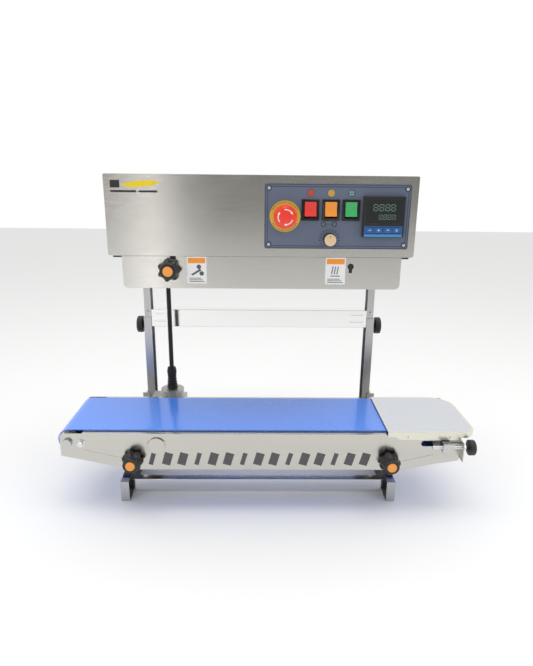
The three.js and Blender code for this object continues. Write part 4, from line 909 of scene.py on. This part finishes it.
# Drive shaft: the lower joint hides in a black rubber boot, above it a black round rod slides in the hollow half.
shaft_black = finish_of("shaft_black", (0.02, 0.02, 0.022), 0.38, 0.6, grain=(40, 40, 200), grain_bump=0.1,
                        uneven=0.05)
rubber = finish_of("rubber", (0.018, 0.018, 0.018), 0.75, 0.0, grain=(80, 80, 80), grain_bump=0.4)
rounded_copy("drive_shaft_lower", 0.4 * MM, shaft_black)
rounded_copy("drive_shaft_upper", 0.4 * MM, shaft_black)
shaft_low, shaft_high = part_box("drive_shaft_lower")
shaft_x, shaft_y = (shaft_low.x + shaft_high.x) / 2, (shaft_low.y + shaft_high.y) / 2
boot_rings = [(7.5, 0), (11.5, 1)]
for i in range(5):
    boot_rings += [(12.6 - 0.6 * i, 3 + 6.4 * i), (9.6 - 0.4 * i, 6.2 + 6.4 * i)]
boot_rings += [(7.2, 35.5), (6.9, 40.5), (4.6, 41)]
settle(new_piece("shaft_boot", turned_rings([(r * MM, h * MM) for r, h in boot_rings], "z",
                                            (shaft_x, shaft_y, gearbox_top + 1 * MM), 48), 60),
       rubber, body="drive_shaft_lower")

# Rollers: turned steel with fine turning marks, except the drive roller, which has a black knurled rubber skin.
roller_steel = finish_of("roller_steel", (0.62, 0.62, 0.62), 0.2, 1.0, grain=(2, 400, 400), grain_bump=0.12)
for node in ("nose_roller", "tail_roller"):
    rounded_copy(node, 0.6 * MM, roller_steel)
rounded_copy("drive_roller", 0.6 * MM, rubber)
for node in ("nose_axle", "tail_axle"):
    rounded_copy(node, 0.5 * MM, turned_steel)

# Posts and rails: cold-rolled channels with a satin zinc coat. The faces inside each channel get a near-black
# colour that is painted shade, standing for the dark inside of the open channels.
channel_grey = finish_of("channel_zinc", (0.52, 0.52, 0.52), 0.34, 1.0, grain=(40, 40, 3), grain_bump=0.12,
                         uneven=0.05, smudge_scale=6)
# This near-black is painted shade on the channels' inner faces; the conveyor brackets take the same colour as
# their black paint.
shade_and_black_paint = finish_of("channel_shade_and_bracket_paint", (0.025, 0.025, 0.027), 0.45, 0.1, grain=(60, 60, 60), grain_bump=0.25)


def faces_inward(node):
    """True for a face that points towards the machine's middle and so lies inside the open channel; such a face
    gets the painted shade.
    """
    low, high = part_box(node)
    centre_x = (low.x + high.x) / 2
    sign = 1 if centre_x < middle_x else -1
    outer_x = low.x if sign > 0 else high.x
    return lambda centre, normal: normal.x * sign > 0.5 and abs(centre.x - outer_x) > 0.4 * MM


for node in ("upper_post_left", "upper_post_right", "lower_post_left", "lower_post_right", "base_side_left",
             "base_side_right"):
    rounded_copy(node, 0.7 * MM, channel_grey, shade_and_black_paint, faces_inward(node))

# Crossbars: polished steel flats and channels that tie the two sides together.
polished = finish_of("polished_steel", (0.80, 0.80, 0.79), 0.13, 1.0, grain=(2, 60, 60), grain_bump=0.08,
                     uneven=0.04, smudge_scale=4)
for node in ("base_crossbar_front", "base_crossbar_rear", "upper_crossbar"):
    rounded_copy(node, 0.8 * MM, polished)

# Conveyor supports: black painted brackets, bent from thick sheet.
for node in ("conveyor_support_left", "conveyor_support_right"):
    rounded_copy(node, 0.9 * MM, shade_and_black_paint)

# Post rivets: a small domed rivet holds the slide of each telescoping post to its front face.
post_rivets = []
for node in ("lower_post_left", "lower_post_right"):
    low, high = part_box(node)
    post_rivets.append(((low.x + high.x) / 2, low.y + 0.1 * MM, 0.36))
scatter("post_rivets", small_screw, zinc, post_rivets, TO_FRONT, "base", size=0.9, seed=11)

# Rear cover and rear guard: the same brushed sheet as the casing. The cover's vents are real slots, and a screw
# stands near each of its corners.
rounded_copy("head_rear_cover", 0.3 * MM, brushed_steel, plain=True)
rounded_copy("rear_guard", 0.8 * MM, brushed_steel)
cover_low, cover_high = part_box("head_rear_cover")
scatter("rear_cover_screws", small_screw, zinc,
        [(x, cover_high.y, z) for x in (cover_low.x + 9 * MM, middle_x, cover_high.x - 9 * MM)
         for z in (cover_low.z + 9 * MM, cover_high.z - 9 * MM)], TO_BACK, "head", seed=8)

# Power inlet: a moulded plug socket with three flat brass pins in its well.
rounded_copy("power_inlet", 0.8 * MM, black_moulding)
inlet_low, inlet_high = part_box("power_inlet")
inlet_x, inlet_z = (inlet_low.x + inlet_high.x) / 2, (inlet_low.z + inlet_high.z) / 2
brass = finish_of("brass", (0.72, 0.52, 0.22), 0.25, 1.0, grain_bump=0.05)
pins = bmesh.new()
for dx, dz in ((-7, -2), (0, 3), (7, -2)):
    place = Matrix.Translation((inlet_x + dx * MM, inlet_high.y + 0.1 * MM, inlet_z + dz * MM))
    made = bmesh.ops.create_cube(pins, size=1, matrix=place @ Matrix.Diagonal((2 * MM, 5 * MM, 5 * MM, 1)))
    edges = {edge for vert in made["verts"] for edge in vert.link_edges}
    bmesh.ops.bevel(pins, geom=list(edges), offset=0.4 * MM, segments=2, affect="EDGES")
settle(new_piece("inlet_pins", pins), brass, body="head")

# Motor: a black painted geared motor with a bright flange. Its pinion turns the large gear on the shaft.
motor_paint = finish_of("motor_paint", (0.05, 0.055, 0.065), 0.4, 0.2, grain=(60, 60, 60), grain_bump=0.15)
rounded_copy("drive_motor", 1.0 * MM, motor_paint)
gear_steel = finish_of("gear_steel", (0.50, 0.49, 0.47), 0.35, 1.0, grain=(120, 120, 120), grain_bump=0.15)
rounded_copy("motor_pinion", 0.3 * MM, gear_steel)

# Drive and idler wheels: turned steel rims over which the two sealing bands run.
for node in ("drive_wheel_front", "drive_wheel_rear", "idler_wheel_front", "idler_wheel_rear"):
    rounded_copy(node, 0.4 * MM, gear_steel)

# Sealing bands: tan glass-cloth bands with a slick face. A fine weave shows in their surface.
band_cloth = finish_of("band_cloth", (0.42, 0.26, 0.13), 0.3, 0.0, grain=(300, 300, 300), grain_bump=0.35,
                       uneven=0.08, coat=0.25)
for node in ("sealing_band_front", "sealing_band_rear"):
    rounded_copy(node, 0.15 * MM, band_cloth)

# Heater and cooler blocks: brass-coloured heating bars and finned cooling bars, clamped behind the bands.
heater_alloy = finish_of("heater_alloy", (0.60, 0.47, 0.28), 0.3, 1.0, grain=(3, 90, 90), grain_bump=0.2,
                         uneven=0.08)
for node in ("heater_cooler_front", "heater_cooler_rear"):
    rounded_copy(node, 0.4 * MM, heater_alloy)

# Bounds of every shown piece, the floor left out.
low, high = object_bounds()
